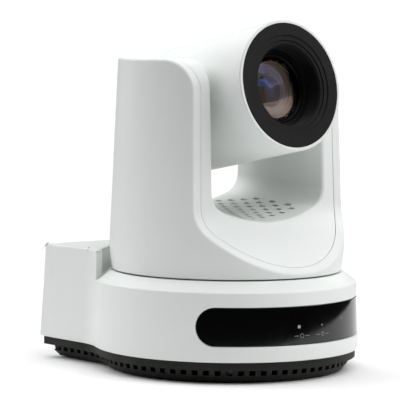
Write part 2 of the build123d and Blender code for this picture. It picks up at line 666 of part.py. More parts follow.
def yoke_form(inset):
    """Outer form of the yoke, drawn smaller by the inset: two arms over a round body."""
    side = Plane.YZ * rounded_face(yoke_side(inset))
    form = yoke_round(inset) & extrude(side, YOKE_R + 5, both=True)
    half = CHANNEL_HALF + inset
    tall = ARM_TOP_Z
    arc_r = CHANNEL_ARC_R + inset
    edge_z = CHANNEL_ARC_R - sqrt(arc_r ** 2 - half ** 2)
    trough = make_face([
        ThreePointArc((-half, edge_z), (0, -inset), (half, edge_z)),
        Polyline((half, edge_z), (half, tall), (-half, tall), (-half, edge_z)),
    ])
    low_corners = trough.vertices().sort_by(Axis.Y)[:2]
    trough = fillet(low_corners, CHANNEL_CORNER_R + inset)
    channel = Rot(90, 0, 0) * extrude(trough, YOKE_R * 2, both=True)
    return form - Pos(0, 0, FLOOR_Z) * Rot(FLOOR_SLOPE, 0, 0) * channel


def seam_round(inset):
    """Round body bounded by the joint between the two yoke covers."""
    top = ARM_TOP_Z + 5
    side = make_face(Polyline(
        (0, 0), (YOKE_R - inset, 0), (YOKE_R - inset, YOKE_WIDE_Z),
        (YOKE_R - YOKE_SPREAD * (top - YOKE_WIDE_Z) - inset, top), (0, top), close=True))
    return revolve(Plane.XZ * side, Axis.Z)


def is_sharp(edge):
    """True for the yoke's sharp outer edges, false for its smooth joins and its foot."""
    box = edge.bounding_box()
    through = box.min.Y < -20 and box.max.Y > 20 and box.max.Z < ARM_TOP_Z - 1
    if edge.geom_type == GeomType.LINE:
        across = box.size.X > 1 and max(-box.min.X, box.max.X) > CHANNEL_HALF
        return not across and not through
    level = box.size.Z < 0.01 and box.max.Z < ARM_TOP_Z - 1
    return not level and box.size.Y > 0.01


def yoke_covers():
    """The outer and the inner yoke cover, one hollow form parted along the seam."""
    form = yoke_form(0)
    form = fillet(form.edges().filter_by(is_sharp), YOKE_EDGE_R)
    hollow = form - yoke_form(YOKE_WALL)
    outer = hollow - seam_round(SEAM_INSET)
    inner = hollow & seam_round(SEAM_INSET + SEAM_GAP)
    return outer, inner


OUTER_COVER, INNER_COVER = yoke_covers()


def finish_inner(cover):
    """Inner cover with the trunnion holes, the floor slots and the screw bosses."""
    for side in (-1, 1):
        cover = cover - xcyl(TRUNNION_R + CLEAR, *sorted((side * 20, side * (CHANNEL_HALF + 6))))
    inside = yoke_form(YOKE_WALL / 2)
    for x, y in SHELL_SCREW_PLACES:
        boss = cyl(BOSS_R, TURNTABLE_Z + TURNTABLE_T + 0.05, FLOOR_Z + CHANNEL_CORNER_R, (x, y))
        cover = cover + (boss & inside)
        cover = cover - cyl(SCREW_R, TURNTABLE_Z, TURNTABLE_Z + 12, (x, y))
    slots = []
    for row in range(FLOOR_SLOT_ROWS):
        y = -22 + row * FLOOR_ROW_PITCH
        shift = FLOOR_SLOT_PITCH / 2 * (row % 2)
        for i in range(-4, 5):
            x = i * FLOOR_SLOT_PITCH + shift - FLOOR_SLOT_PITCH / 4
            slots.append(Pos(x, y, FLOOR_Z) * Box(FLOOR_SLOT_L, FLOOR_SLOT_W, 2 * CHANNEL_CORNER_R))
    clear = [s for s in slots if all(
        sqrt((s.center().X - x) ** 2 + (s.center().Y - y) ** 2) > 7.5 for x, y in SHELL_SCREW_PLACES)]
    return cover - clear


keep("yoke_outer_cover", OUTER_COVER)
keep("yoke_inner_cover", finish_inner(INNER_COVER))
keep("cover_screws", group(screws(SHELL_SCREW_PLACES, TURNTABLE_Z + SCREW_HEAD_H, 9)))

# Tilt frame: a bent metal bracket on the turntable whose uprights hold the tilt bearings.
UPRIGHT_X = (CHANNEL_HALF + YOKE_WALL + 0.5, CHANNEL_HALF + YOKE_WALL + 0.5 + BRACKET_T)
FRAME_Z = TURNTABLE_Z + TURNTABLE_T
BEARING_X = (UPRIGHT_X[0], UPRIGHT_X[0] + TILT_BEARING_H)


def tilt_frame():
    """Bracket with a foot plate, two uprights and a bearing boss on each."""
    frame = block(-UPRIGHT_X[1], UPRIGHT_X[1], -BRACKET_HALF_Y, BRACKET_HALF_Y,
                  FRAME_Z, FRAME_Z + BRACKET_T)
    frame = frame - cyl(SPINDLE_BORE_R, FRAME_Z - 1, FRAME_Z + 3)
    for side in (-1, 1):
        x0, x1 = sorted((side * UPRIGHT_X[0], side * UPRIGHT_X[1]))
        b0, b1 = sorted((side * BEARING_X[0], side * BEARING_X[1]))
        frame = frame + block(x0, x1, -BRACKET_HALF_Y, BRACKET_HALF_Y, FRAME_Z, TILT_Z)
        frame = frame + xcyl(BRACKET_HALF_Y, x0, x1) + xcyl(TILT_BEARING_R + 2, b0, b1)
        frame = frame - xcyl(TILT_BEARING_R, b0 - 1, b1 + 1)
    frame = frame - xcyl(4.2, UPRIGHT_X[0] - 1, UPRIGHT_X[1] + 1, 0, TILT_MOTOR_Z)
    for at in TABLE_PLACES:
        frame = frame - cyl(SCREW_HEAD_R + 0.4, FRAME_Z - 1, FRAME_Z + 3, at)
    return frame


TILT_PULLEY_X = (BEARING_X[1] + CLEAR + FLANGE_T, BEARING_X[1] + CLEAR + FLANGE_T + PULLEY_RIM_W)
MOTOR_X = (UPRIGHT_X[0] - 21.0, UPRIGHT_X[0] - 0.05)
keep("tilt_frame", tilt_frame())
keep("tilt_bearings", group([xtube(TILT_BEARING_R, TRUNNION_R + RUNNING, *sorted((s * BEARING_X[0],
                                                                            s * BEARING_X[1])))
                             for s in (-1, 1)]))
keep("tilt_motor", xcyl(TILT_MOTOR_R, *MOTOR_X, 0, TILT_MOTOR_Z)
     - xcyl(TILT_SHAFT_R + RUNNING, MOTOR_X[0] + 6, MOTOR_X[1] + 1, 0, TILT_MOTOR_Z))


def sideways(shape, z):
    """Turn an upright drive piece so that its axis lies along X and its bottom faces -X."""
    return Pos(TILT_PULLEY_X[0], 0, z) * Rot(0, 90, 0) * shape


TILT_SMALL = toothed(MOTOR_PULLEY_R, MOTOR_TEETH, 0, 0, PULLEY_RIM_W)
TILT_SHAFT = cyl(TILT_SHAFT_R, MOTOR_X[0] + 7 - TILT_PULLEY_X[0], PULLEY_RIM_W + 1)
TILT_BIG = toothed(TILT_PULLEY_R, TILT_TEETH, TRUNNION_R, 0, PULLEY_RIM_W)
keep("tilt_motor_pulley", sideways(TILT_SMALL + TILT_SHAFT, TILT_MOTOR_Z))
keep("tilt_pulley", sideways(TILT_BIG, TILT_Z))
keep("tilt_belt", sideways(Pos(0, 0, (PULLEY_RIM_W - BELT_W) / 2)
                           * belt_loop(TILT_PULLEY_R, MOTOR_PULLEY_R, (TILT_Z - TILT_MOTOR_Z, 0)),
                           TILT_Z))


def drive_board():
    """Motor driver board on the foot of the tilt frame."""
    board = block(-38, -13, -13, 13, FRAME_Z + 5, FRAME_Z + 5 + BOARD_T)
    for x, y in ((-34, -9), (-34, 9), (-17, -9), (-17, 9)):
        board = board + cyl(1.8, FRAME_Z + 2, FRAME_Z + 5, (x, y))
    for y in (-6, 5):
        board = board + block(-30, -22, y - 3, y + 3, FRAME_Z + 5 + BOARD_T, FRAME_Z + 8)
    return board


keep("drive_board", drive_board())


# ---- head, drawn with the lens axis along Z and placed by HEAD ----
def head_shell():
    """Front part of the barrel: a tube with a thin white lip round the bezel."""
    shell = cyl(HEAD_R, HEAD_SEAM, HEAD_FRONT)
    rim = shell.edges().sort_by(Axis.Z)[-1]
    shell = fillet(rim, 0.8)
    shell = shell - cyl(HEAD_R - HEAD_WALL, HEAD_SEAM - 1, HEAD_FRONT + 1)
    return shell - xcyl(TRUNNION_R, -HEAD_R - 5, HEAD_R + 5, 0, 0)


def rear_cap():
    """Rear cup of the barrel with a rounded edge and a spigot inside the front part."""
    cup = cyl(HEAD_R, -HEAD_REAR, HEAD_SEAM)
    cup = fillet(cup.edges().sort_by(Axis.Z)[0], CAP_EDGE_R)
    core = cyl(HEAD_R - HEAD_WALL, HEAD_WALL - HEAD_REAR, HEAD_SEAM + 1)
    core = fillet(core.edges().sort_by(Axis.Z)[0], CAP_EDGE_R - HEAD_WALL)
    spigot_r = HEAD_R - HEAD_WALL - 0.1
    spigot = tube(spigot_r, spigot_r - 1.4, HEAD_SEAM - 3, HEAD_SEAM + 2.5)
    step = tube(HEAD_R - HEAD_WALL / 2, spigot_r - 1.4, HEAD_SEAM - 3, HEAD_SEAM)
    return cup - core + spigot + step


BEZEL_R = HEAD_R - HEAD_WALL - BEZEL_GAP
TUNNEL_END = HEAD_FRONT - TUNNEL_DEPTH


def front_bezel():
    """Black ring that fills the front: three shallow steps, then a deep tunnel to the lens."""
    ring = cyl(BEZEL_R, HEAD_FRONT - 4.5, HEAD_FRONT)
    ring = ring + cyl(TUNNEL_R + 2.4, TUNNEL_END - 2.0, HEAD_FRONT - 1)
    for radius, depth in BEZEL_STEPS:
        ring = ring - cyl(radius, HEAD_FRONT - depth, HEAD_FRONT + 1)
    wide = BEZEL_STEPS[-1][0] - 0.6
    funnel = Pos(0, 0, (TUNNEL_END + HEAD_FRONT) / 2) * Cone(TUNNEL_R, wide, TUNNEL_DEPTH)
    return ring - funnel - cyl(FRONT_RING_R + 0.2, TUNNEL_END - 5, HEAD_FRONT)


def dome(radius, bulge, z):
    """Solid cap of a sphere whose rim has the radius given and whose rim plane is at z."""
    ball = (radius ** 2 + bulge ** 2) / (2 * bulge)
    return (Pos(0, 0, z - ball + bulge) * Sphere(ball)) & cyl(radius, z, z + bulge + 1)


keep("head_front_shell", HEAD * head_shell())
keep("head_rear_cap", HEAD * rear_cap())
keep("front_bezel", HEAD * front_bezel())

RING_FRONT = TUNNEL_END - 0.2
GLASS_SEAT = RING_FRONT - 3.4
keep("front_lens_ring", HEAD * (tube(FRONT_RING_R, GLASS_R, GLASS_SEAT, RING_FRONT)
                                + tube(FRONT_RING_R, GLASS_R - 1.5, GLASS_SEAT - 3, GLASS_SEAT)))
keep("front_glass", HEAD * (cyl(GLASS_R, GLASS_SEAT, GLASS_SEAT + 1.2)
                            + dome(GLASS_R, GLASS_BULGE, GLASS_SEAT + 1.2)))

LENS_TUBE_FRONT = TUNNEL_END - 2.1


def lens_barrel():
    """Tube that holds the optics, with a flange at each end."""
    made = tube(LENS_TUBE_R, LENS_TUBE_BORE_R, LENS_TUBE_REAR, LENS_TUBE_FRONT)
    made = made + tube(LENS_TUBE_BORE_R + 0.5, FRONT_RING_R + 0.05, GLASS_SEAT - 3, LENS_TUBE_FRONT)
    made = made + tube(LENS_TUBE_BORE_R + 0.5, GLASS_R - 1.6, GLASS_SEAT - 4.5, GLASS_SEAT - 3)
    return made


def head_frame():
    """Ring plate clamped on the lens tube, with two cheeks that carry the trunnions."""
    frame = tube(LENS_TUBE_R + 3, LENS_TUBE_R, -8, 8)
    for side in (-1, 1):
        x0, x1 = sorted((side * CHEEK_X[0], side * CHEEK_X[1]))
        b0, b1 = sorted((side * (LENS_TUBE_R + 1), side * CHEEK_X[1]))
        frame = frame + block(x0, x1, -CHEEK_HALF, CHEEK_HALF, -10, 12)
        frame = frame + (block(b0, b1, -CHEEK_HALF, CHEEK_HALF, -8, -4) - cyl(LENS_TUBE_R + 1, -9, -3))
        frame = frame - xcyl(TRUNNION_R - 2.0, x0 - 1, x1 + 1, 0, 0)
    return frame


def trunnion(side):
    """Hollow trunnion: a flange on the cheek, a collar beside the arm and the bearing journal."""
    def along(radius, near, far):
        return xcyl(radius, *sorted((side * near, side * far)))

    reach = TILT_PULLEY_X[1] + 1 if side > 0 else BEARING_X[1] + 0.5
    made = along(TRUNNION_R + 1.5, CHEEK_X[1], HEAD_R - HEAD_WALL - 2.0)
    made = made + along(TRUNNION_R, CHEEK_X[1], reach)
    made = made + (along(HUB_R, HEAD_R - 3, CHANNEL_HALF - CLEAR)
                   - HEAD * cyl(HEAD_R + 0.02, HEAD_SEAM, HEAD_FRONT))
    return made - along(TRUNNION_BORE_R, CHEEK_X[1] - 1, reach + 1)


keep("lens_barrel", HEAD * lens_barrel())
keep("head_frame", HEAD * head_frame())
keep("trunnion_left", trunnion(-1))
keep("trunnion_right", trunnion(1))

# Guide rods, and the carriers that slide on them.
ROD_ENDS = (LENS_TUBE_REAR + 1, GLASS_SEAT - 5)


def rod_at(turn):
    return (ROD_AT_R * cos(radians(turn)), ROD_AT_R * sin(radians(turn)))


def carrier(z, main_turn, lens_r):
    """Lens carrier ring with a long sleeve on one rod and a short eye on the other."""
    made = tube(CARRIER_R, lens_r, z - CARRIER_H / 2, z + CARRIER_H / 2)
    for turn, half in ((main_turn, SLEEVE_HALF), (main_turn + 180, EYE_HALF)):
        made = made + cyl(ROD_R + 1.0, z - half, z + half, rod_at(turn))
        made = made - cyl(ROD_R + RUNNING, z - 10, z + 10, rod_at(turn))
    return made


def element(z, radius, bulge):
    """Lens element, domed on both sides."""
    back = Rot(180, 0, 0) * dome(radius, bulge, 0.8)
    return Pos(0, 0, z) * (cyl(radius, -0.8, 0.8) + dome(radius, bulge, 0.8) + back)


keep("guide_rods", HEAD * group([cyl(ROD_R, *ROD_ENDS, rod_at(turn)) for turn in ROD_TURNS]))
keep("zoom_carrier", HEAD * carrier(ZOOM_AT, 90, ZOOM_LENS_R))
keep("zoom_lens", HEAD * element(ZOOM_AT, ZOOM_LENS_R, 1.4))
keep("focus_carrier", HEAD * carrier(FOCUS_AT, 270, FOCUS_LENS_R))
keep("focus_lens", HEAD * element(FOCUS_AT, FOCUS_LENS_R, 1.2))

# Iris: a slotted housing and two notched blades that slide past each other.


def iris_housing():
    """Fixed ring with a slot across it for the blades."""
    ring = tube(LENS_TUBE_BORE_R - 0.05, IRIS_BORE_R, IRIS_AT - IRIS_T / 2, IRIS_AT + IRIS_T / 2)
    slot_half = BLADE_HALF + 2 * CLEAR
    ring = ring - block(-slot_half, slot_half, -18, 18, IRIS_AT - 0.6, IRIS_AT + 0.6)
    for turn in ROD_TURNS:
        ring = ring - cyl(ROD_R + 0.3, IRIS_AT - 3, IRIS_AT + 3, rod_at(turn))
    return ring


def iris_blade(side):
    """Thin blade with a V notch facing the axis, above (1) or below (-1) it."""
    z = IRIS_AT + side * 0.3
    reach = sorted((side * -BLADE_NEAR, side * BLADE_FAR))
    plate = block(-BLADE_HALF, BLADE_HALF, *reach, z - BLADE_T / 2, z + BLADE_T / 2)
    notch = Pos(0, side * -BLADE_NEAR, z) * Rot(0, 0, 45) * Box(11.5, 11.5, 2)
    return plate - notch


keep("iris_housing", HEAD * iris_housing())
keep("iris_blade_upper", HEAD * iris_blade(1))
keep("iris_blade_lower", HEAD * iris_blade(-1))

# Filter slide, sensor and its board with a heat sink.
FILTER_Z = SENSOR_AT + 3.0
keep("filter_slide", HEAD * (block(-14.0, 6.0, -6, 6, FILTER_Z - 0.5, FILTER_Z + 0.5)))
ROD_ROOM = [cyl(ROD_R + 1.2, LENS_TUBE_REAR + 0.5, 0, rod_at(turn)) for turn in ROD_TURNS]
keep("sensor_holder", HEAD * (tube(LENS_TUBE_BORE_R - 0.05, 17.5, LENS_TUBE_REAR, FILTER_Z + 2) - ROD_ROOM))
BOARD_BACK = LENS_TUBE_REAR - BOARD_T - 0.05
keep("image_sensor", HEAD * block(-6.5, 6.5, -5.0, 5.0, LENS_TUBE_REAR, SENSOR_AT))
keep("sensor_board", HEAD * block(-19, 19, -17, 17, BOARD_BACK, LENS_TUBE_REAR))
SINK_HALF = 14.0
FINS = [block(-SINK_HALF, SINK_HALF, y - 0.8, y + 0.8, BOARD_BACK - 9, BOARD_BACK - 2)
        for y in range(-12, 13, FIN_PITCH)]
keep("heat_sink", HEAD * (block(-SINK_HALF, SINK_HALF, -SINK_HALF, SINK_HALF,
                                BOARD_BACK - 2, BOARD_BACK) + FINS))

os.makedirs("parts", exist_ok=True)
for name, shape in NODES.items():
    export_step(shape, f"parts/{name}.step")
    print(name, len(shape.solids()), round(shape.volume, 1))
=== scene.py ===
import json
from math import cos, hypot, pi, radians, sin, sqrt

import bmesh
import bpy
from mathutils import Matrix, Vector


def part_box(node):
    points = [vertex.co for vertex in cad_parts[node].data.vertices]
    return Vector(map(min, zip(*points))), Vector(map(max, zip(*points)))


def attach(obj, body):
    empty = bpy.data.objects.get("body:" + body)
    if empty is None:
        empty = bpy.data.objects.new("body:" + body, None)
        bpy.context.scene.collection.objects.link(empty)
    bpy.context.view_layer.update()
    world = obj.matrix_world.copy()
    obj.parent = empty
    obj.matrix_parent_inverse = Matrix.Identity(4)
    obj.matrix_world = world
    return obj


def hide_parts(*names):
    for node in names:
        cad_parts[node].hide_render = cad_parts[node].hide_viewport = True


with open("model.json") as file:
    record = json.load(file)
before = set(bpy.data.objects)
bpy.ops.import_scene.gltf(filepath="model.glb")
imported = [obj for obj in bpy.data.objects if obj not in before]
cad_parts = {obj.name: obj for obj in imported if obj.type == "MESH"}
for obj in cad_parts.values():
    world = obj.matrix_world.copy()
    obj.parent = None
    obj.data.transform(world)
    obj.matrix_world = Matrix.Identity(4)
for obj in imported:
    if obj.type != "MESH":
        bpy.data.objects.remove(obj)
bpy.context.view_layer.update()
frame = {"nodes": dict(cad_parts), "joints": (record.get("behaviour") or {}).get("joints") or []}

# ---- Base plate: the bottom tray of the base, injection moulded in dark brown-black ABS. Its lower
# tier is a comb of vent slots that tucks in under a plain flange, and the white shell sits on the
# flange. A spark-eroded mould leaves it dull, with a grain of about half a millimetre.


def linear(code):
    """sRGB hex colour as linear RGBA."""
    parts = [int(code[i:i + 2], 16) / 255 for i in (1, 3, 5)]
    return tuple(c / 12.92 if c < 0.04045 else ((c + 0.055) / 1.055) ** 2.4 for c in parts) + (1.0,)


def add(tree, kind, settings, links):
    """One node with its settings; a link is another node's output or a plain value."""
    node = tree.nodes.new(kind)
    for name, value in settings.items():
        setattr(node, name, value)
    for name, value in links.items():
        if isinstance(value, bpy.types.NodeSocket):
            tree.links.new(value, node.inputs[name])
        else:
            node.inputs[name].default_value = value
    return node


def surface(name):
    """A new material with its tree, its shader and the Object coordinates."""
    made = bpy.data.materials.new(name)
    made.use_nodes = True
    tree = made.node_tree
    where = add(tree, "ShaderNodeTexCoord", {}, {}).outputs["Object"]
    return made, tree, tree.nodes["Principled BSDF"], where


def grained(name, light, dark, rough, grain_mm, depth_mm, patch_mm, ior=1.5):
    """Moulded or painted surface: a fine grain in relief, slow changes of colour and gloss."""
    made, tree, shader, where = surface(name)
    patches = add(tree, "ShaderNodeTexNoise", {},
                  {"Vector": where, "Scale": 1000 / patch_mm, "Detail": 3.0, "Roughness": 0.6})
    grain = add(tree, "ShaderNodeTexNoise", {},
                {"Vector": where, "Scale": 1000 / grain_mm, "Detail": 2.0, "Roughness": 0.5})
    tint = add(tree, "ShaderNodeMix", {"data_type": "RGBA"},
               {0: patches.outputs["Fac"], 6: linear(light), 7: linear(dark)})
    gloss = add(tree, "ShaderNodeMapRange", {},
                {"Value": patches.outputs["Fac"], "From Min": 0.3, "From Max": 0.7,
                 "To Min": rough[0], "To Max": rough[1]})
    relief = add(tree, "ShaderNodeBump", {},
                 {"Height": grain.outputs["Fac"], "Distance": depth_mm / 1000})
    tree.links.new(tint.outputs[2], shader.inputs["Base Color"])
    tree.links.new(gloss.outputs["Result"], shader.inputs["Roughness"])
    tree.links.new(relief.outputs["Normal"], shader.inputs["Normal"])
    shader.inputs["IOR"].default_value = ior
    return made


def add_piece(name, mesh, finish=None):
    """A new object from a mesh, with its place in the mesh."""
    if finish:
        mesh.materials.clear()
        mesh.materials.append(finish)
    piece = bpy.data.objects.new(name, mesh)
    bpy.context.scene.collection.objects.link(piece)
    return piece


def smooth(mesh, angle=32):
    """Smooth shading, with sharp creases where faces meet at more than the angle."""
    mesh.shade_smooth()
    mesh.set_sharp_from_angle(angle=radians(angle))


def applied(piece):
    """The same piece with its modifiers worked into a plain mesh."""
    seen = piece.evaluated_get(bpy.context.evaluated_depsgraph_get())
    mesh = bpy.data.meshes.new_from_object(seen)
    name = piece.name
    bpy.data.objects.remove(piece)
    return add_piece(name, mesh)


MERGE = 2e-6                # vertices nearer than this are one, in metres
FLAT_ANGLE = radians(0.2)   # faces that meet at less than this are one


def clean_copy(name, node, finish, round_mm=0.0, angle=30):
    """A CAD node's mesh with its doubles merged, and its sharp edges rounded if asked."""
    work = bmesh.new()
    work.from_mesh(frame["nodes"][node].data)
    bmesh.ops.remove_doubles(work, verts=work.verts, dist=MERGE)
    bmesh.ops.dissolve_limit(work, angle_limit=FLAT_ANGLE, verts=work.verts, edges=work.edges)
    mesh = bpy.data.meshes.new(name)
    work.to_mesh(mesh)
    work.free()
    if "custom_normal" in mesh.attributes:
        mesh.attributes.remove(mesh.attributes["custom_normal"])
    smooth(mesh, angle)
    piece = add_piece(name, mesh, finish)
    if round_mm:
        edge = piece.modifiers.new("edge", "BEVEL")
        edge.limit_method = "ANGLE"
        edge.angle_limit = radians(angle)
        edge.width = round_mm / 1000
        edge.segments = 3
        edge.use_clamp_overlap = False
        edge.harden_normals = True
    level = piece.modifiers.new("level", "WEIGHTED_NORMAL")
    level.keep_sharp = True
    return applied(piece)


def stands_for(piece, body, slot, *nodes):
    """The piece rides on a body and stands for these CAD nodes."""
    if nodes:
        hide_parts(*nodes)
    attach(piece, body)


plate_abs = grained("grained_brown_black_abs", "#14110E", "#0E0C0A", (0.55, 0.68), 0.5, 0.02, 14, 1.4)
tray = clean_copy("vented_tray", "base_plate", plate_abs)
stands_for(tray, "base", "dark_brown_plastic", "base_plate")

# ---- Rubber feet: four discs of black rubber pressed into shallow pockets under the tray. Each has
# a rounded rim and moulded rings for grip. Rubber is dull, with a faint grey bloom.


def lathe(profile, place, sides=128):
    """A closed profile of (radius, height) in millimetres, turned about the place's Z axis."""
    work = bmesh.new()
    rings = []
    for i in range(sides):
        turn = 2 * pi * i / sides
        rings.append([work.verts.new((r / 1000 * cos(turn), r / 1000 * sin(turn), z / 1000))
                      for r, z in profile])
    count = len(profile)
    for i in range(sides):
        here, there = rings[i], rings[(i + 1) % sides]
        for k in range(count):
            after = (k + 1) % count
            if profile[k][0] or profile[after][0]:
                work.faces.new((here[k], there[k], there[after], here[after]))
    bmesh.ops.remove_doubles(work, verts=work.verts, dist=1e-7)
    bmesh.ops.recalc_face_normals(work, faces=work.faces)
    mesh = bpy.data.meshes.new("turned")
    work.to_mesh(mesh)
    work.free()
    mesh.transform(place)
    smooth(mesh)
    return mesh


def solids(node):
    """Lowest and highest corner of each separate solid of a CAD node, in metres."""
    work = bmesh.new()
    work.from_mesh(frame["nodes"][node].data)
    bmesh.ops.remove_doubles(work, verts=work.verts, dist=MERGE)
    left = set(work.verts)
    found = []
    while left:
        stack = [left.pop()]
        group = list(stack)
        while stack:
            vert = stack.pop()
            for link in vert.link_edges:
                other = link.other_vert(vert)
                if other in left:
                    left.remove(other)
                    group.append(other)
                    stack.append(other)
        low = Vector([min(v.co[i] for v in group) for i in range(3)])
        high = Vector([max(v.co[i] for v in group) for i in range(3)])
        found.append((low, high))
    work.free()
    return found


def node_tree(name, inputs, output):
    """A Geometry Nodes tree with these named inputs and one geometry output."""
    tree = bpy.data.node_groups.new(name, "GeometryNodeTree")
    for label, kind in inputs.items():
        tree.interface.new_socket(name=label, in_out="INPUT", socket_type="NodeSocket" + kind)
    tree.interface.new_socket(name=output, in_out="OUTPUT", socket_type="NodeSocketGeometry")
    return tree


def fitting_tree():
    """Node tree that sets a finished piece on each point, turned by its own random angle."""
    tree = node_tree("set_on_points", {"Points": "Geometry", "Piece": "Object", "Tip Over": "Float",
                                       "Most Turn": "Float", "Seed": "Int", "Finish": "Material"},
                     "Fitted")
    given = add(tree, "NodeGroupInput", {}, {}).outputs
    piece = add(tree, "GeometryNodeObjectInfo", {}, {"Object": given["Piece"]})
    spin = add(tree, "FunctionNodeRandomValue", {"data_type": "FLOAT"},
               {2: 0.0, 3: given["Most Turn"], "Seed": given["Seed"]})
    turn = add(tree, "ShaderNodeCombineXYZ", {}, {"X": given["Tip Over"], "Z": spin.outputs[1]})
    placed = add(tree, "GeometryNodeInstanceOnPoints", {},
                 {"Points": given["Points"], "Instance": piece.outputs["Geometry"],
                  "Rotation": turn.outputs[0]})
    real = add(tree, "GeometryNodeRealizeInstances", {}, {"Geometry": placed.outputs[0]})
    coat = add(tree, "GeometryNodeSetMaterial", {},
               {"Geometry": real.outputs[0], "Material": given["Finish"]})
    add(tree, "NodeGroupOutput", {}, {"Fitted": coat.outputs[0]})
    return tree


def grown(name, start, tree, given):
    """A plain piece grown from a start mesh by a node tree, whose inputs are given by name."""
    piece = add_piece(name, start)
    grow = piece.modifiers.new("grow", "NODES")
    grow.node_group = tree
    for socket in tree.interface.items_tree:
        if socket.in_out == "INPUT" and socket.name in given:
            grow[socket.identifier] = given[socket.name]
    made = applied(piece)
    smooth(made.data)
    return made


def points(places):
    """A mesh of loose points."""
    mesh = bpy.data.meshes.new("points")
    mesh.from_pydata([tuple(p) for p in places], [], [])
    return mesh


def fitted(name, places, master, finish, tip=0.0, seed=1):
    """One piece made of a master mesh set on each place."""
    model = add_piece("master", master)
    made = grown(name, points(places), SET_ON_POINTS,
                 {"Piece": model, "Tip Over": tip, "Most Turn": pi, "Seed": seed, "Finish": finish})
    bpy.data.objects.remove(model)
    return made


SET_ON_POINTS = fitting_tree()
rubber = grained("moulded_black_rubber", "#1F1F20", "#2C2C2C", (0.7, 0.85), 0.3, 0.01, 4, 1.52)
low, high = solids("rubber_feet")[0]
foot_r = (high.x - low.x) * 500
foot_h = (high.z - low.z) * 1000
foot = lathe([(0, 0.5), (foot_r - 3.6, 0.5), (foot_r - 3.2, 0), (foot_r - 2.6, 0), (foot_r - 2.3, 0.35),
              (foot_r - 1.9, 0), (foot_r - 0.7, 0), (foot_r - 0.2, 0.15), (foot_r, 0.6),
              (foot_r, foot_h), (0, foot_h)], Matrix())
feet = fitted("grip_feet", [((a.x + b.x) / 2, (a.y + b.y) / 2, a.z) for a, b in solids("rubber_feet")],
              foot, rubber, seed=3)
stands_for(feet, "base", "rubber_black", "rubber_feet")

# ---- Tripod insert: a turned brass bush, pressed into the tray, with the camera thread cut in it.
# Brass is a warm yellow metal; the cutter leaves fine rings on its face.


def turned_metal(name, colour, dark, rough, ring_mm, centre, across):
    """Bare metal with the rings of the cutting tool about a centre, seen along one axis."""
    made, tree, shader, where = surface(name)
    moved = add(tree, "ShaderNodeMapping", {}, {"Vector": where, "Location": [-c for c in centre]})
    parts = add(tree, "ShaderNodeSeparateXYZ", {}, {"Vector": moved.outputs[0]})
    flat = add(tree, "ShaderNodeCombineXYZ", {}, {"X": parts.outputs[across[0]],
                                                 "Y": parts.outputs[across[1]]})
    span = add(tree, "ShaderNodeVectorMath", {"operation": "LENGTH"}, {0: flat.outputs[0]})
    wave = add(tree, "ShaderNodeMath", {"operation": "MULTIPLY"},
               {0: span.outputs["Value"], 1: 2000 * pi / ring_mm})
    ring = add(tree, "ShaderNodeMath", {"operation": "SINE"}, {0: wave.outputs[0]})
    stain = add(tree, "ShaderNodeTexNoise", {}, {"Vector": where, "Scale": 400.0, "Detail": 4.0})
    tint = add(tree, "ShaderNodeMix", {"data_type": "RGBA"},
               {0: stain.outputs["Fac"], 6: linear(colour), 7: linear(dark)})
    relief = add(tree, "ShaderNodeBump", {},
                 {"Height": ring.outputs[0], "Strength": 0.35, "Distance": 0.00001})
    gloss = add(tree, "ShaderNodeMapRange", {},
                {"Value": stain.outputs["Fac"], "To Min": rough[0], "To Max": rough[1]})
    tree.links.new(tint.outputs[2], shader.inputs["Base Color"])
    tree.links.new(gloss.outputs["Result"], shader.inputs["Roughness"])
    tree.links.new(relief.outputs["Normal"], shader.inputs["Normal"])
    shader.inputs["Metallic"].default_value = 1.0
    return made


brass = turned_metal("turned_brass", "#D9B36C", "#B98F4C", (0.22, 0.38), 0.25, (0, 0, 0), (0, 1))
low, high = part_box("tripod_insert")
insert_r = high.x * 1000
insert_h = high.z * 1000
thread = []
THREAD_PITCH = 25.4 / 20    # quarter-inch tripod thread
bore_r = 2.75
z = 0.8
while z < insert_h - THREAD_PITCH:
    thread += [(bore_r, z), (bore_r + 0.42, z + THREAD_PITCH / 2)]
    z += THREAD_PITCH
bush = lathe([(insert_r - 0.3, 0), (insert_r, 0.3), (insert_r, insert_h), (bore_r, insert_h)]
             + thread[::-1] + [(bore_r + 0.6, 0)], Matrix(), 64)
bush = add_piece("tripod_bush", bush, brass)
stands_for(bush, "base", "brass_insert", "tripod_insert")

# ---- Base screws: six pan-head screws of plated steel that pull the tray up against posts inside
# the shell. Plating is a bright cool grey, brushed by handling; each head has a cross recess.


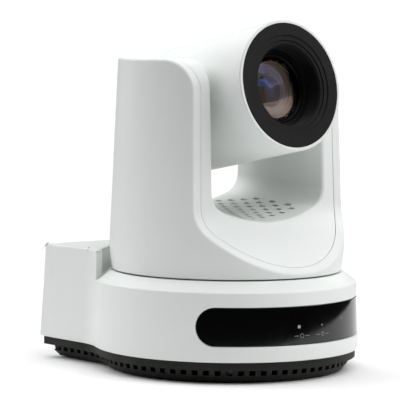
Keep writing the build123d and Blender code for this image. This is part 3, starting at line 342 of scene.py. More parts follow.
def screw_master(head_r, head_h, shank_r, length, pitch=0.6):
    """A pan-head screw that points up from z = 0, with a thread and a cross recess below."""
    profile = [(0, -head_h), (head_r * 0.55, -head_h), (head_r * 0.85, -head_h * 0.82),
               (head_r * 0.97, -head_h * 0.5), (head_r, -0.15), (head_r * 0.98, 0), (shank_r, 0)]
    z = 0.5
    while z < length - 1.0:
        profile += [(shank_r, z), (shank_r - 0.3, z + pitch / 2)]
        z += pitch
    profile += [(shank_r - 0.2, length - 0.6), (0, length)]
    body = add_piece("screw", lathe(profile, Matrix(), 20))
    work = bmesh.new()
    for turn in (0, pi / 2):
        bar = bmesh.ops.create_cube(work, size=1.0)["verts"]
        shape = Matrix.Rotation(turn, 4, "Z") @ Matrix.Diagonal((0.0032, 0.0008, 0.0019, 1))
        bmesh.ops.transform(work, verts=bar, matrix=Matrix.Translation((0, 0, -head_h / 1000)) @ shape)
        for vert in bar:
            if vert.co.z > -head_h / 1000:
                vert.co.x *= 0.45
                vert.co.y *= 0.45
    mesh = bpy.data.meshes.new("cross")
    work.to_mesh(mesh)
    work.free()
    cross = add_piece("cross", mesh)
    cut = body.modifiers.new("cross", "BOOLEAN")
    cut.operation = "DIFFERENCE"
    cut.solver = "EXACT"
    cut.use_self = True
    cut.object = cross
    made = applied(body)
    bpy.data.objects.remove(cross)
    shape = made.data
    bpy.data.objects.remove(made)
    return shape


def brushed(name, light, dark, rough, line_mm, stretch, depth_mm=0.006):
    """Bare or plated metal with fine lines along one axis."""
    made, tree, shader, where = surface(name)
    drawn = add(tree, "ShaderNodeMapping", {}, {"Vector": where, "Scale": stretch})
    lines = add(tree, "ShaderNodeTexNoise", {},
                {"Vector": drawn.outputs[0], "Scale": 1000 / line_mm, "Detail": 3.0})
    clouds = add(tree, "ShaderNodeTexNoise", {}, {"Vector": where, "Scale": 90.0, "Detail": 4.0})
    tint = add(tree, "ShaderNodeMix", {"data_type": "RGBA"},
               {0: clouds.outputs["Fac"], 6: linear(light), 7: linear(dark)})
    gloss = add(tree, "ShaderNodeMapRange", {},
                {"Value": lines.outputs["Fac"], "To Min": rough[0], "To Max": rough[1]})
    relief = add(tree, "ShaderNodeBump", {},
                 {"Height": lines.outputs["Fac"], "Strength": 0.5, "Distance": depth_mm / 1000})
    tree.links.new(tint.outputs[2], shader.inputs["Base Color"])
    tree.links.new(gloss.outputs["Result"], shader.inputs["Roughness"])
    tree.links.new(relief.outputs["Normal"], shader.inputs["Normal"])
    shader.inputs["Metallic"].default_value = 1.0
    return made


def screw_set(name, node, body, upright, seed):
    """Screws for each solid of a CAD node: points up if upright, and down if not."""
    found = solids(node)
    low, high = found[0]
    head_r = (high.x - low.x) * 500
    length = (high.z - low.z) * 1000 - SCREW_HEAD
    places = []
    for a, b in found:
        z = a.z + SCREW_HEAD / 1000 if upright else b.z - SCREW_HEAD / 1000
        places.append(((a.x + b.x) / 2, (a.y + b.y) / 2, z))
    master = screw_master(head_r, SCREW_HEAD, SCREW_SHANK, length)
    made = fitted(name, places, master, zinc, 0.0 if upright else pi, seed)
    stands_for(made, body, "steel", node)


SCREW_HEAD = 1.8
SCREW_SHANK = 1.45
zinc = brushed("zinc_plated_steel", "#C9CBCE", "#A4A7AB", (0.2, 0.42), 0.15, (1, 1, 6))
screw_set("tray_screws", "base_screws", "base", True, 5)

# ---- Chassis: a die-cast aluminium plate on three legs, with the pillar that holds the pan bearing.
# Castings are matt and faintly mottled grey; three steel screws hold it to the tray.


def paint(finish, *nodes):
    """Gives CAD nodes that keep their own shape their finish."""
    for node in nodes:
        for place in frame["nodes"][node].material_slots:
            place.material = finish


cast = brushed("die_cast_aluminium", "#B4B7BA", "#94989C", (0.42, 0.6), 0.6, (1, 1, 1), 0.02)
sheet_steel = brushed("rolled_sheet_steel", "#BFC1C4", "#A2A5A9", (0.3, 0.48), 0.2, (1, 9, 1))
acetal = grained("moulded_acetal", "#E3DFD2", "#D3CEBF", (0.3, 0.42), 0.4, 0.004, 9, 1.48)
paint(cast, "base_chassis", "turntable")
screw_set("leg_screws", "chassis_screws", "base", False, 7)
paint(acetal, "pan_bearing", "tilt_bearings")

# ---- Pan motor: a small stepper with a pressed steel can, zinc plated, and a turned steel shaft.
# The can shows the fine lines of the drawn sheet that run up its side.
motor_can = brushed("drawn_motor_can", "#AEB1B4", "#8D9195", (0.25, 0.42), 0.25, (1, 1, 0.08))
paint(motor_can, "pan_motor", "tilt_motor")

# ---- Boards: glass-cloth laminate with a green solder mask over etched copper. The mask is glossy,
# the tracks under it are a lighter green, and the weave shows as a faint cross grain.


def solder_mask(name, track_mm):
    """Green solder mask over tracks that run square to each other."""
    made, tree, shader, where = surface(name)
    tracks = add(tree, "ShaderNodeTexBrick", {"offset": 0.37, "squash": 1.0},
                 {"Vector": where, "Scale": 1000 / track_mm, "Mortar Size": 0.06, "Brick Width": 3.1,
                  "Row Height": 0.5, "Color1": linear("#0E4A2A"), "Color2": linear("#125333"),
                  "Mortar": linear("#2C8453")})
    weave = add(tree, "ShaderNodeTexNoise", {}, {"Vector": where, "Scale": 2500.0})
    relief = add(tree, "ShaderNodeBump", {},
                 {"Height": tracks.outputs["Fac"], "Strength": 0.4, "Distance": 0.00003})
    tint = add(tree, "ShaderNodeMix", {"data_type": "RGBA", "blend_type": "OVERLAY"},
               {0: 0.15, 6: tracks.outputs["Color"], 7: weave.outputs["Color"]})
    tree.links.new(tint.outputs[2], shader.inputs["Base Color"])
    tree.links.new(relief.outputs["Normal"], shader.inputs["Normal"])
    shader.inputs["Roughness"].default_value = 0.24
    shader.inputs["IOR"].default_value = 1.55
    return made


mask = solder_mask("green_solder_mask", 1.6)
paint(mask, "main_board", "front_board", "drive_board", "sensor_board")


def chip_tree():
    """Node tree that lays rows of small parts on a board, each a low block of random size in the given
    finish.
    """
    tree = node_tree("board_parts", {"Start": "Geometry", "Span X": "Float", "Span Y": "Float",
                                     "Columns": "Int", "Rows": "Int", "Centre": "Vector",
                                     "Part Size": "Vector", "Seed": "Int", "Finish": "Material"},
                     "Parts")
    given = add(tree, "NodeGroupInput", {}, {}).outputs
    grid = add(tree, "GeometryNodeMeshGrid", {},
               {"Size X": given["Span X"], "Size Y": given["Span Y"],
                "Vertices X": given["Columns"], "Vertices Y": given["Rows"]})
    moved = add(tree, "GeometryNodeTransform", {},
                {"Geometry": grid.outputs[0], "Translation": given["Centre"]})
    gap = add(tree, "FunctionNodeRandomValue", {"data_type": "BOOLEAN"},
              {"Probability": 0.7, "Seed": given["Seed"]})
    size = add(tree, "FunctionNodeRandomValue", {"data_type": "FLOAT_VECTOR"},
               {0: (0.5, 0.5, 0.6), 1: (1.0, 1.0, 1.0), "Seed": given["Seed"]})
    block = add(tree, "GeometryNodeMeshCube", {}, {"Size": given["Part Size"]})
    placed = add(tree, "GeometryNodeInstanceOnPoints", {},
                 {"Points": moved.outputs[0], "Selection": gap.outputs[3],
                  "Instance": block.outputs[0], "Scale": size.outputs[0]})
    real = add(tree, "GeometryNodeRealizeInstances", {}, {"Geometry": placed.outputs[0]})
    coat = add(tree, "GeometryNodeSetMaterial", {},
               {"Geometry": real.outputs[0], "Material": given["Finish"]})
    add(tree, "NodeGroupOutput", {}, {"Parts": coat.outputs[0]})
    return tree


chip_epoxy = grained("moulded_chip_epoxy", "#1C1C1E", "#27272A", (0.45, 0.6), 0.3, 0.006, 3, 1.55)
CHIPS = chip_tree()
low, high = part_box("main_board")
chips = grown("main_board_parts", points([(0, 0, 0)]), CHIPS, {
    "Span X": 0.070, "Span Y": 0.006, "Columns": 15, "Rows": 2, "Seed": 4, "Finish": chip_epoxy,
    "Centre": (0.0, low.y + 0.0135, high.z - 0.0010), "Part Size": (0.0030, 0.0022, 0.0020)})
stands_for(chips, "base", "black_plastic")
low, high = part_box("drive_board")
chips = grown("drive_board_parts", points([(0, 0, 0)]), CHIPS, {
    "Span X": 0.008, "Span Y": 0.016, "Columns": 3, "Rows": 6, "Seed": 9, "Finish": chip_epoxy,
    "Centre": (high.x - 0.0065, 0.0, high.z - 0.0008), "Part Size": (0.0024, 0.0016, 0.0014)})
stands_for(chips, "yoke", "black_plastic")

# ---- Rear panel: a punched steel sheet with black powder coat, behind the opening in the shell. The
# powder cures to a fine orange peel, with bumps about half a millimetre apart.
powder = grained("black_powder_coat", "#1B1C1E", "#242528", (0.45, 0.58), 0.55, 0.03, 20, 1.5)
plate = clean_copy("socket_panel", "rear_panel", powder, 0.15)
stands_for(plate, "base", "panel_paint", "rear_panel")

# ---- Sockets: nickel-plated steel shells on the board, and moulded black bodies for the round ones.
# The square sockets have a row of gilded contacts on their tongues.
nickel = brushed("nickel_plated_shell", "#CDCBC6", "#ADABA6", (0.15, 0.34), 0.2, (1, 0.15, 1))
nylon = grained("moulded_black_nylon", "#1A1A1B", "#222223", (0.38, 0.5), 0.4, 0.008, 8, 1.53)
paint(nickel, "lan_socket", "hdmi_socket", "usb_socket")
paint(nylon, "serial_socket", "audio_socket", "power_socket", "switch_body")


def pin_tree():
    """Node tree for a straight row of flat contacts."""
    tree = node_tree("contact_row", {"Start": "Geometry", "Count": "Int", "First": "Vector",
                                     "Step": "Vector", "Contact Size": "Vector",
                                     "Finish": "Material"}, "Row")
    given = add(tree, "NodeGroupInput", {}, {}).outputs
    row = add(tree, "GeometryNodeMeshLine", {"mode": "OFFSET"},
              {"Count": given["Count"], "Start Location": given["First"], "Offset": given["Step"]})
    pin = add(tree, "GeometryNodeMeshCube", {}, {"Size": given["Contact Size"]})
    placed = add(tree, "GeometryNodeInstanceOnPoints", {},
                 {"Points": row.outputs[0], "Instance": pin.outputs[0]})
    real = add(tree, "GeometryNodeRealizeInstances", {}, {"Geometry": placed.outputs[0]})
    coat = add(tree, "GeometryNodeSetMaterial", {},
               {"Geometry": real.outputs[0], "Material": given["Finish"]})
    add(tree, "NodeGroupOutput", {}, {"Row": coat.outputs[0]})
    return tree


CONTACTS = pin_tree()
gilt = brushed("gold_flashed_contact", "#E2BE6A", "#C79D45", (0.2, 0.35), 0.1, (1, 0.2, 1))
for node, count, pitch, width in (("lan_socket", 8, 1.02, 0.45), ("hdmi_socket", 10, 0.9, 0.35),
                                  ("usb_socket", 4, 2.0, 0.9)):
    low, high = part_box(node)
    middle = (low.x + high.x) / 2
    top = low.z + 0.58 * (high.z - low.z) + 0.0001
    first = (middle - (count - 1) * pitch / 2000, high.y - 0.0045, top)
    row = grown(node + "_contacts", points([(0, 0, 0)]), CONTACTS, {
        "Count": count, "First": first, "Step": (pitch / 1000, 0, 0), "Finish": gilt,
        "Contact Size": (width / 1000, 0.005, 0.0002)})
    stands_for(row, "base", "brass_insert")
for node, count, ring_r, pin_r in (("serial_socket", 8, 0.0026, 0.0004), ("audio_socket", 1, 0, 0.0005),
                                   ("power_socket", 1, 0, 0.0009)):
    low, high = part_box(node)
    centre = Vector(((low.x + high.x) / 2, 0, (low.z + high.z) / 2))
    pin = lathe([(0, -6.5), (pin_r * 1000, -6.5), (pin_r * 1000, -0.4), (pin_r * 600, 0), (0, 0)],
                Matrix.Rotation(-pi / 2, 4, "X"), 12)
    spots = [(centre.x + ring_r * cos(2 * pi * (i + 0.5) / count), high.y - 0.002,
              centre.z + ring_r * sin(2 * pi * (i + 0.5) / count)) for i in range(count)]
    model = add_piece("master", pin)
    row = grown(node + "_pins", points(spots), SET_ON_POINTS,
                {"Piece": model, "Tip Over": 0.0, "Most Turn": 0.0, "Seed": 1, "Finish": gilt})
    bpy.data.objects.remove(model)
    stands_for(row, "base", "brass_insert")

# ---- Power switch: a black rocker with a gloss top that tips on two moulded pins in its frame. It has
# no marks and no lettering, and its polished top has only the faintest grain.
rocker_abs = grained("polished_black_abs", "#141415", "#1A1A1B", (0.16, 0.26), 0.8, 0.003, 6, 1.54)
paint(rocker_abs, "power_rocker")

# ---- Lights and receivers: clear epoxy lamps and dark receiver cans on the front board, behind the
# window. Cast epoxy is glassy and a little yellow.


def clear_cast(name, colour, ior, rough):
    """Clear cast resin or glass with faint flow lines in its gloss."""
    made, tree, shader, where = surface(name)
    flow = add(tree, "ShaderNodeTexNoise", {}, {"Vector": where, "Scale": 120.0, "Detail": 2.0})
    gloss = add(tree, "ShaderNodeMapRange", {},
                {"Value": flow.outputs["Fac"], "To Min": rough[0], "To Max": rough[1]})
    tree.links.new(gloss.outputs["Result"], shader.inputs["Roughness"])
    shader.inputs["Base Color"].default_value = linear(colour)
    shader.inputs["Transmission Weight"].default_value = 1.0
    shader.inputs["IOR"].default_value = ior
    return made, shader


epoxy = clear_cast("clear_lamp_epoxy", "#F1EFE4", 1.53, (0.02, 0.08))[0]
paint(epoxy, "indicator_lights")
paint(rocker_abs, "ir_receivers")

# ---- Window: a band of smoked acrylic, moulded to the curve of the base and glued in flush. It looks
# jet black and mirror smooth, and only infrared and the two lamps get through it.


def smoked(name, colour, rough):
    """Black polished plastic: mirror gloss with the faintest ripple."""
    made, tree, shader, where = surface(name)
    ripple = add(tree, "ShaderNodeTexNoise", {}, {"Vector": where, "Scale": 1000 / 9, "Detail": 1.0})
    gloss = add(tree, "ShaderNodeMapRange", {},
                {"Value": ripple.outputs["Fac"], "To Min": rough[0], "To Max": rough[1]})
    relief = add(tree, "ShaderNodeBump", {},
                 {"Height": ripple.outputs["Fac"], "Strength": 0.1, "Distance": 0.0001})
    tree.links.new(gloss.outputs["Result"], shader.inputs["Roughness"])
    tree.links.new(relief.outputs["Normal"], shader.inputs["Normal"])
    shader.inputs["Base Color"].default_value = linear(colour)
    shader.inputs["IOR"].default_value = 1.49
    return made


acrylic = smoked("smoked_acrylic", "#040405", (0.03, 0.08))
pane = clean_copy("front_window", "ir_window", acrylic, 0.2)
stands_for(pane, "base", "window_plastic", "ir_window")

# Marks on the window: two small lamps that show through, a pin-hole, and two plain printed signs
# below the lamps, a ring and a bar in a ring, in grey ink a few hundredths of a millimetre thick.
ink = grained("grey_screen_ink", "#8E8C88", "#7C7A77", (0.5, 0.6), 0.3, 0.004, 5)
lamp_grey = grained("frosted_lamp_face", "#A9A6A0", "#979590", (0.4, 0.5), 0.4, 0.004, 3)
low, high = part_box("ir_window")
window_mid = (low.z + high.z) / 2
# The window leans in going up, so its outer radius is read near its foot and near its top.
pane_skin = [(hypot(v.co.x, v.co.y), v.co.z) for v in frame["nodes"]["ir_window"].data.vertices]
under_r, under_z = max(place for place in pane_skin if place[1] < window_mid)
over_r, over_z = max(place for place in pane_skin if place[1] > window_mid)


def on_window(corners, turn, z, lift_mm=0.03):
    """A flat figure of (across, up) corners in millimetres, wrapped on the window as a thin solid."""
    def at(across, up, out):
        height = z + up / 1000
        radius = under_r + (over_r - under_r) * (height - under_z) / (over_z - under_z) + out
        angle = radians(turn) + across / 1000 / radius
        return radius * sin(angle), -radius * cos(angle), height

    work = bmesh.new()
    top = [work.verts.new(at(a, u, lift_mm / 1000)) for a, u in corners]
    under = [work.verts.new(at(a, u, -0.0001)) for a, u in corners]
    work.faces.new(top)
    work.faces.new(under[::-1])
    for i in range(len(corners)):
        j = (i + 1) % len(corners)
        work.faces.new((top[i], under[i], under[j], top[j]))
    bmesh.ops.recalc_face_normals(work, faces=work.faces)
    mesh = bpy.data.meshes.new("mark")
    work.to_mesh(mesh)
    work.free()
    return mesh


def joined(name, meshes, finish):
    """Several meshes as one piece."""
    work = bmesh.new()
    for mesh in meshes:
        work.from_mesh(mesh)
    out = bpy.data.meshes.new(name)
    work.to_mesh(out)
    work.free()
    return add_piece(name, out, finish)


def ring_bits(radius, width, bits=24):
    """A ring as short four-sided pieces."""
    made = []
    for i in range(bits):
        a, b = 2 * pi * i / bits, 2 * pi * (i + 1.05) / bits
        made.append([((radius + s * width / 2) * cos(t), (radius + s * width / 2) * sin(t))
                     for s, t in ((1, a), (1, b), (-1, b), (-1, a))])
    return made


def oblong(centre, half_x, half_y):
    """The corners of an upright oblong about a centre across."""
    return [(centre + x * half_x, y * half_y) for x, y in ((-1, -1), (1, -1), (1, 1), (-1, 1))]


SIGN_Z = window_mid - 0.0052
SIGN_TURNS = (-7.2, 4.3)    # degrees from the front
SIGN_RING = (1.05, 0.26)    # radius and line width, in millimetres
SIGN_LINE = 0.13            # half the width of a straight line
SIGN_DASH = 1.3             # half the length of the dash on each side
SIGN_DASH_AT = 3.4
SIGN_BAR = 0.55             # half the height of the bar in the second ring
LAMP_Z = window_mid - 0.0005
LAMP_FACES = ((-8.6, 0.8), (4.0, 0.36))     # degrees from the front and half width
PIN_HOLE_Z = window_mid + 0.0015
PIN_HOLE_TURN = 18.2
PIN_HOLE_R = 0.5
signs = []
for turn, barred in zip(SIGN_TURNS, (False, True)):
    figures = ring_bits(*SIGN_RING)
    if barred:
        figures.append(oblong(0.0, SIGN_LINE, SIGN_BAR))
    for centre in (-SIGN_DASH_AT, SIGN_DASH_AT):
        figures.append(oblong(centre, SIGN_DASH, SIGN_LINE))
    for figure in figures:
        signs.append(on_window(figure, turn, SIGN_Z))
stands_for(joined("window_signs", signs, ink), "base", "socket_metal")
lamps = [on_window(oblong(0.0, half, half), turn, LAMP_Z) for turn, half in LAMP_FACES]
stands_for(joined("lamp_faces", lamps, lamp_grey), "base", "clear_plastic")
dot = [(PIN_HOLE_R * cos(pi * i / 8), PIN_HOLE_R * sin(pi * i / 8)) for i in range(16)]
hole = joined("pin_hole", [on_window(dot, PIN_HOLE_TURN, PIN_HOLE_Z)], ink)
stands_for(hole, "base", "black_plastic")

# ---- Base shell: the white cover of the base, one injection moulding in satin white ABS with moulded
# screw posts. The mould is spark-eroded very finely, so it has a silky sheen and soft edges.
white_abs = grained("satin_white_abs", "#E9ECEA", "#E3E6E4", (0.4, 0.5), 0.35, 0.004, 30, 1.54)
shell = clean_copy("base_cover", "base_shell", white_abs, 0.5)
stands_for(shell, "base", "white_plastic", "base_shell")

# ---- Pan drive: a moulded ring pulley, a rubber belt and a small metal pinion on the motor shaft.
# The belt is black rubber on a cloth back; the pinion is turned aluminium.
belt = grained("cloth_backed_rubber", "#1B1B1B", "#262626", (0.65, 0.8), 0.25, 0.03, 5, 1.52)
pinion = brushed("turned_aluminium", "#C3C5C8", "#A8ABAE", (0.2, 0.34), 0.15, (1, 1, 5))
black_nylon = grained("glass_filled_nylon", "#202022", "#29292B", (0.42, 0.55), 0.4, 0.012, 6, 1.53)
paint(belt, "pan_belt", "tilt_belt")
paint(pinion, "pan_motor_pulley", "tilt_motor_pulley")
paint(black_nylon, "pan_pulley", "tilt_pulley")
screw_set("turntable_fixings", "turntable_screws", "yoke", False, 11)

# ---- Tilt frame: a bracket bent from rolled sheet steel, screwed to the turntable, whose two uprights
# carry the acetal bushes for the head. Rolling leaves fine lines along the sheet.
paint(sheet_steel, "tilt_frame")

# ---- Yoke covers: an outer and an inner moulding in the same satin white ABS, snapped together along
# a fine seam that follows the arms, and screwed down to the turntable from inside.
outer = clean_copy("yoke_outside", "yoke_outer_cover", white_abs, 0, 40)
stands_for(outer, "yoke", "white_plastic", "yoke_outer_cover")
inner = clean_copy("yoke_inside", "yoke_inner_cover", white_abs, 0, 40)
stands_for(inner, "yoke", "white_plastic", "yoke_inner_cover")
screw_set("cover_fixings", "cover_screws", "yoke", True, 13)

# ---- Optics: an anodised aluminium tube with the moving lens groups on two ground rods. Black
# anodising is satin and slightly warm; the rods are polished steel, the lens groups coated glass.
anodised = brushed("black_anodised_aluminium", "#1D1C1E", "#131314", (0.35, 0.5), 0.3, (1, 1, 1), 0.008)
paint(anodised, "lens_barrel", "zoom_carrier", "focus_carrier", "iris_housing", "sensor_holder",
      "heat_sink")
ground_steel = brushed("ground_steel_rod", "#D5D6D8", "#BDBFC2", (0.08, 0.2), 0.08, (1, 1, 1))
paint(ground_steel, "guide_rods")
blued = brushed("blackened_spring_steel", "#2A2B30", "#1D1E22", (0.3, 0.45), 0.12, (9, 1, 1))
paint(blued, "iris_blade_upper", "iris_blade_lower")


def coated_glass(name, colour, film_nm):
    """Optical glass with a thin coating, whose reflections take a colour of their own."""
    made, shader = clear_cast(name, colour, 1.6, (0.0, 0.02))
    shader.inputs["Thin Film Thickness"].default_value = film_nm
    shader.inputs["Thin Film IOR"].default_value = 1.38
    return made


paint(coated_glass("magenta_coated_glass", "#F3F1FA", 340.0), "zoom_lens")
paint(coated_glass("amber_coated_glass", "#FAF6EE", 250.0), "focus_lens", "filter_slide")
paint(smoked("sensor_cover_glass", "#0C1016", (0.02, 0.05)), "image_sensor")

# ---- Head frame: a cast aluminium ring clamped on the lens tube, with two cheeks. A hollow trunnion
# on each cheek, white where it shows beside the arm, turns in the tilt bush.
paint(cast, "head_frame")
paint(white_abs, "trunnion_left", "trunnion_right")

# ---- Barrel: a front tube and a rear cup, both satin white ABS, that meet in a fine joint. The cup
# has a broad rounded edge, and the tube ends in a thin lip round the bezel.
tube = clean_copy("barrel_tube", "head_front_shell", white_abs, 0, 25)
stands_for(tube, "head", "white_plastic", "head_front_shell")
cup = clean_copy("barrel_cup", "head_rear_cap", white_abs, 0, 25)
stands_for(cup, "head", "white_plastic", "head_rear_cap")

# ---- Bezel: a matt black moulding that fills the front of the barrel. Its face is a broad flat ring
# with three shallow steps, and its mouth runs back as a ribbed tunnel that kills stray light.
joints = {joint["name"]: joint for joint in frame["joints"]}
pivot = Vector(joints["tilt"]["pos_m"])
forward = Vector(joints["zoom"]["axis"]).normalized()
side = Vector((1, 0, 0))
front = max((v.co - pivot).dot(forward) for v in frame["nodes"]["head_front_shell"].data.vertices)
HEAD_PLACE = Matrix.Translation(pivot + forward * front) @ Matrix(
    (side, forward.cross(side), forward)).transposed().to_4x4()


def reach(node, place):
    """Largest radius of a CAD node about the place's Z axis, and its lowest and highest Z, in mm."""
    back = place.inverted()
    seen = [back @ v.co for v in frame["nodes"][node].data.vertices]
    return (1000 * max(hypot(p.x, p.y) for p in seen), 1000 * min(p.z for p in seen),
            1000 * max(p.z for p in seen))


bezel_r, bezel_back = reach("front_bezel", HEAD_PLACE)[:2]
STEPS = ((26.2, 0.5), (23.6, 1.1), (21.7, 1.7))
MOUTH_R = 21.1
TUNNEL_R = 20.6
TUNNEL_DEEP = 11.0
profile = [(bezel_r, -0.3), (bezel_r - 0.3, 0)]
level = 0.0
for radius, depth in STEPS:
    profile += [(radius + 0.2, -level), (radius, -level - 0.2), (radius, -depth)]
    level = depth
profile += [(MOUTH_R + 0.3, -level), (MOUTH_R, -level - 0.25)]
RIB_PITCH = 0.8             # ribs moulded round the tunnel
ribs = int((TUNNEL_DEEP - level - 1) / RIB_PITCH)
for i in range(ribs):
    depth = level + 0.5 + i * RIB_PITCH
    radius = MOUTH_R - (MOUTH_R - TUNNEL_R) * depth / TUNNEL_DEEP
    profile += [(radius, -depth), (radius + 0.25, -depth - RIB_PITCH * 0.85)]
seat_r = reach("front_lens_ring", HEAD_PLACE)[0] + 0.15
profile += [(TUNNEL_R, -TUNNEL_DEEP + 0.1), (seat_r, -TUNNEL_DEEP + 0.1), (seat_r, bezel_back),
            (seat_r + 3.5, bezel_back), (seat_r + 3.5, -4.5), (bezel_r, -4.5)]
matt_black = grained("matt_black_abs", "#0E0C0D", "#0A0909", (0.6, 0.7), 0.3, 0.012, 12, 1.3)
bezel = add_piece("stepped_bezel", lathe(profile, HEAD_PLACE, 192), matt_black)
stands_for(bezel, "head", "black_plastic", "front_bezel")

# ---- Front lens: a threaded retaining ring of black anodised aluminium round a domed glass. The glass
# has one thin coating, which takes most of the colour out of its reflections. The ring's face is turned.
ring_r, ring_back, ring_front = reach("front_lens_ring", HEAD_PLACE)
glass_r, glass_back, glass_front = reach("front_glass", HEAD_PLACE)
profile = [(ring_r, ring_back), (ring_r, ring_front - 0.35), (ring_r - 0.35, ring_front)]
TURNED_STEP = 0.35
radius = ring_r - 0.8
while radius > glass_r + 0.7:
    profile += [(radius, ring_front), (radius - TURNED_STEP / 2, ring_front - 0.12)]
    radius -= TURNED_STEP
profile += [(glass_r + 0.5, ring_front), (glass_r + 0.05, ring_front - 0.5), (glass_r + 0.05, glass_back),
            (glass_r - 1.4, glass_back), (glass_r - 1.4, ring_back)]
ring = add_piece("retaining_ring", lathe(profile, HEAD_PLACE, 160), anodised)
stands_for(ring, "head", "black_alloy", "front_lens_ring")
bulge = glass_front - glass_back - 1.2
ball = (glass_r ** 2 + bulge ** 2) / (2 * bulge)
dome = [(glass_r, glass_back), (glass_r, glass_back + 1.0)]
for i in range(13):
    radius = glass_r * cos(radians(7.5 * i)) if i < 12 else 0.0
    radius = min(radius, glass_r - 0.2)
    dome.append((radius, glass_front - ball + sqrt(ball ** 2 - radius ** 2)))
inside = [(0.0, glass_back + 0.6)]
for i in range(1, 12):
    radius = (glass_r - 1.6) * i / 11
    inside.append((radius, glass_back + 0.6 * (1 - (i / 11) ** 2)))
front_film = coated_glass("front_coated_glass", "#F4F2F8", 120.0)
glass = add_piece("front_element", lathe(dome + inside, HEAD_PLACE, 160), front_film)
stands_for(glass, "head", "lens_glass", "front_glass")

# ---- Inner lens rings: what shows through the front glass. A grey stepped mount narrows to the small
# second element, whose coated dome is dark with a coloured shine.
MOUNT_TOP = glass_back - 0.6
mount = [(glass_r - 1.6, MOUNT_TOP - 2.2), (glass_r - 1.6, MOUNT_TOP - 0.5),
         (glass_r - 2.0, MOUNT_TOP - 0.5)]
MOUNT_STEPS = ((13.4, 1.0), (11.6, 1.6), (9.9, 2.4), (8.4, 3.0))
for radius, depth in MOUNT_STEPS:
    mount += [(radius + 0.25, MOUNT_TOP - depth + 0.35), (radius, MOUNT_TOP - depth)]
mount += [(7.9, MOUNT_TOP - 3.4), (7.9, MOUNT_TOP - 4.2), (glass_r - 2.2, MOUNT_TOP - 4.2)]
mount_metal = turned_metal("turned_lens_mount", "#6A6662", "#55514E", (0.4, 0.55), 0.5,
                           HEAD_PLACE.translation, (0, 2))
rings = add_piece("inner_lens_mount", lathe(mount, HEAD_PLACE, 128), mount_metal)
stands_for(rings, "head", "black_alloy")
SECOND_R = 8.2
SECOND_Z = MOUNT_TOP - 3.9
ball = 14.0
second = []
for i in range(10):
    radius = SECOND_R * (1 - i / 9)
    second.append((radius, SECOND_Z + sqrt(ball ** 2 - radius ** 2) - sqrt(ball ** 2 - SECOND_R ** 2)))
second += [(0.0, SECOND_Z - 1.2), (SECOND_R, SECOND_Z - 1.2)]
second_film = smoked("deep_coated_element", "#150F16", (0.02, 0.04))
second_shader = second_film.node_tree.nodes["Principled BSDF"]
second_shader.inputs["IOR"].default_value = 1.7
second_shader.inputs["Thin Film Thickness"].default_value = 130.0
second_shader.inputs["Thin Film IOR"].default_value = 1.38
lens2 = add_piece("second_element", lathe(second, HEAD_PLACE, 96), second_film)
stands_for(lens2, "head", "lens_glass")

# ---- Floor, light and camera. The part stands on a pale sheet under a broad overhead softbox with a
# ring of softboxes round it, so tops are bright and upright faces fall off to light grey.


def lamp(name, place, aim, width, height, power):
    """A soft rectangular light that points at a spot."""
    data = bpy.data.lights.new(name, "AREA")
    data.shape = "RECTANGLE"
    data.size = width
    data.size_y = height
    data.energy = power
    made = bpy.data.objects.new(name, data)
    bpy.context.scene.collection.objects.link(made)
    made.location = place
    made.rotation_euler = (Vector(aim) - Vector(place)).to_track_quat("-Z", "Y").to_euler()
    return made


sheet = bpy.data.meshes.new("floor")
SHEET_R = 0.45
edge = [(SHEET_R * cos(2 * pi * i / 64), SHEET_R * sin(2 * pi * i / 64), 0) for i in range(64)]
sheet.from_pydata(edge, [], [tuple(range(64))])
paper = grained("pale_paper_sheet", "#FBFBFB", "#F8F8F8", (0.8, 0.9), 0.8, 0.002, 300, 1.45)
floor = add_piece("floor", sheet, paper)

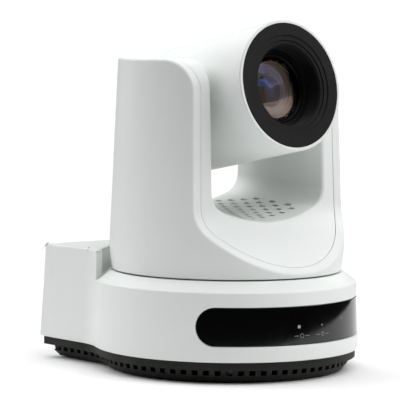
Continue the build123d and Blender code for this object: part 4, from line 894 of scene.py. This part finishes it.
world = bpy.data.worlds.new("studio")
bpy.context.scene.world = world
world.use_nodes = True
sky = world.node_tree
seen = sky.nodes["Background"]
seen.inputs["Color"].default_value = (1, 1, 1, 1)
seen.inputs["Strength"].default_value = 1.05
fill = add(sky, "ShaderNodeBackground", {}, {"Color": (0.97, 1.0, 1.0, 1.0), "Strength": 0.02})
gloss = add(sky, "ShaderNodeBackground", {}, {"Color": (1, 1, 1, 1), "Strength": 0.02})
ray = add(sky, "ShaderNodeLightPath", {}, {})
shine = add(sky, "ShaderNodeMixShader", {},
            {0: ray.outputs["Is Glossy Ray"], 1: fill.outputs[0], 2: gloss.outputs[0]})
both = add(sky, "ShaderNodeMixShader", {},
           {0: ray.outputs["Is Camera Ray"], 1: shine.outputs[0], 2: seen.outputs[0]})
sky.links.new(both.outputs[0], sky.nodes["World Output"].inputs["Surface"])
AIM = (0, 0, 0.1)           # the middle of the base
LAMPS = (                   # name, place, width, height, power in watts
    ("overhead", (0, 0, 1.4), 1.2, 1.2, 5.4),
    ("front_high", (0.1, -0.8, 1.15), 1.2, 1.0, 7.85),
    ("rear_high", (0, 0.9, 1.1), 1.2, 1.0, 7.5),
    ("left_high", (-0.8, 0.68, 0.95), 1.0, 1.0, 8.35),
    ("right_high", (0.85, -0.65, 0.95), 1.0, 1.0, 8.5),
    ("rear_left", (-0.4, 1.3, 0.45), 1.0, 0.7, 1.8),
    ("rear_right", (1.15, 0.5, 0.85), 1.0, 0.7, 4.2),
)
for label, place, width, height, power in LAMPS:
    lamp(label, place, AIM, width, height, power)
lamp("right_card", (0.9, -1.0, 0.35), (0, 0, 0.12), 0.7, 0.5, 1.1)

AZIMUTH = radians(-40.29)
ELEVATION = radians(4.20)
ROLL = radians(0.59)
DISTANCE = 1.25
target = Vector((-0.01109, 0.00940, 0.08899))
back = Vector((sin(AZIMUTH) * cos(ELEVATION), -cos(AZIMUTH) * cos(ELEVATION), sin(ELEVATION)))
level_right = Vector((cos(AZIMUTH), sin(AZIMUTH), 0))
level_up = back.cross(level_right)
right = level_right * cos(ROLL) + level_up * sin(ROLL)
up = level_up * cos(ROLL) - level_right * sin(ROLL)
view = bpy.data.cameras.new("camera")
view.lens = 210.6
view.sensor_width = 36.0
camera = bpy.data.objects.new("camera", view)
bpy.context.scene.collection.objects.link(camera)
turned = Matrix((right, up, back)).transposed().to_4x4()
camera.matrix_world = Matrix.Translation(target + DISTANCE * back) @ turned
bpy.context.scene.camera = camera
bpy.context.scene.view_settings.view_transform = "Standard"
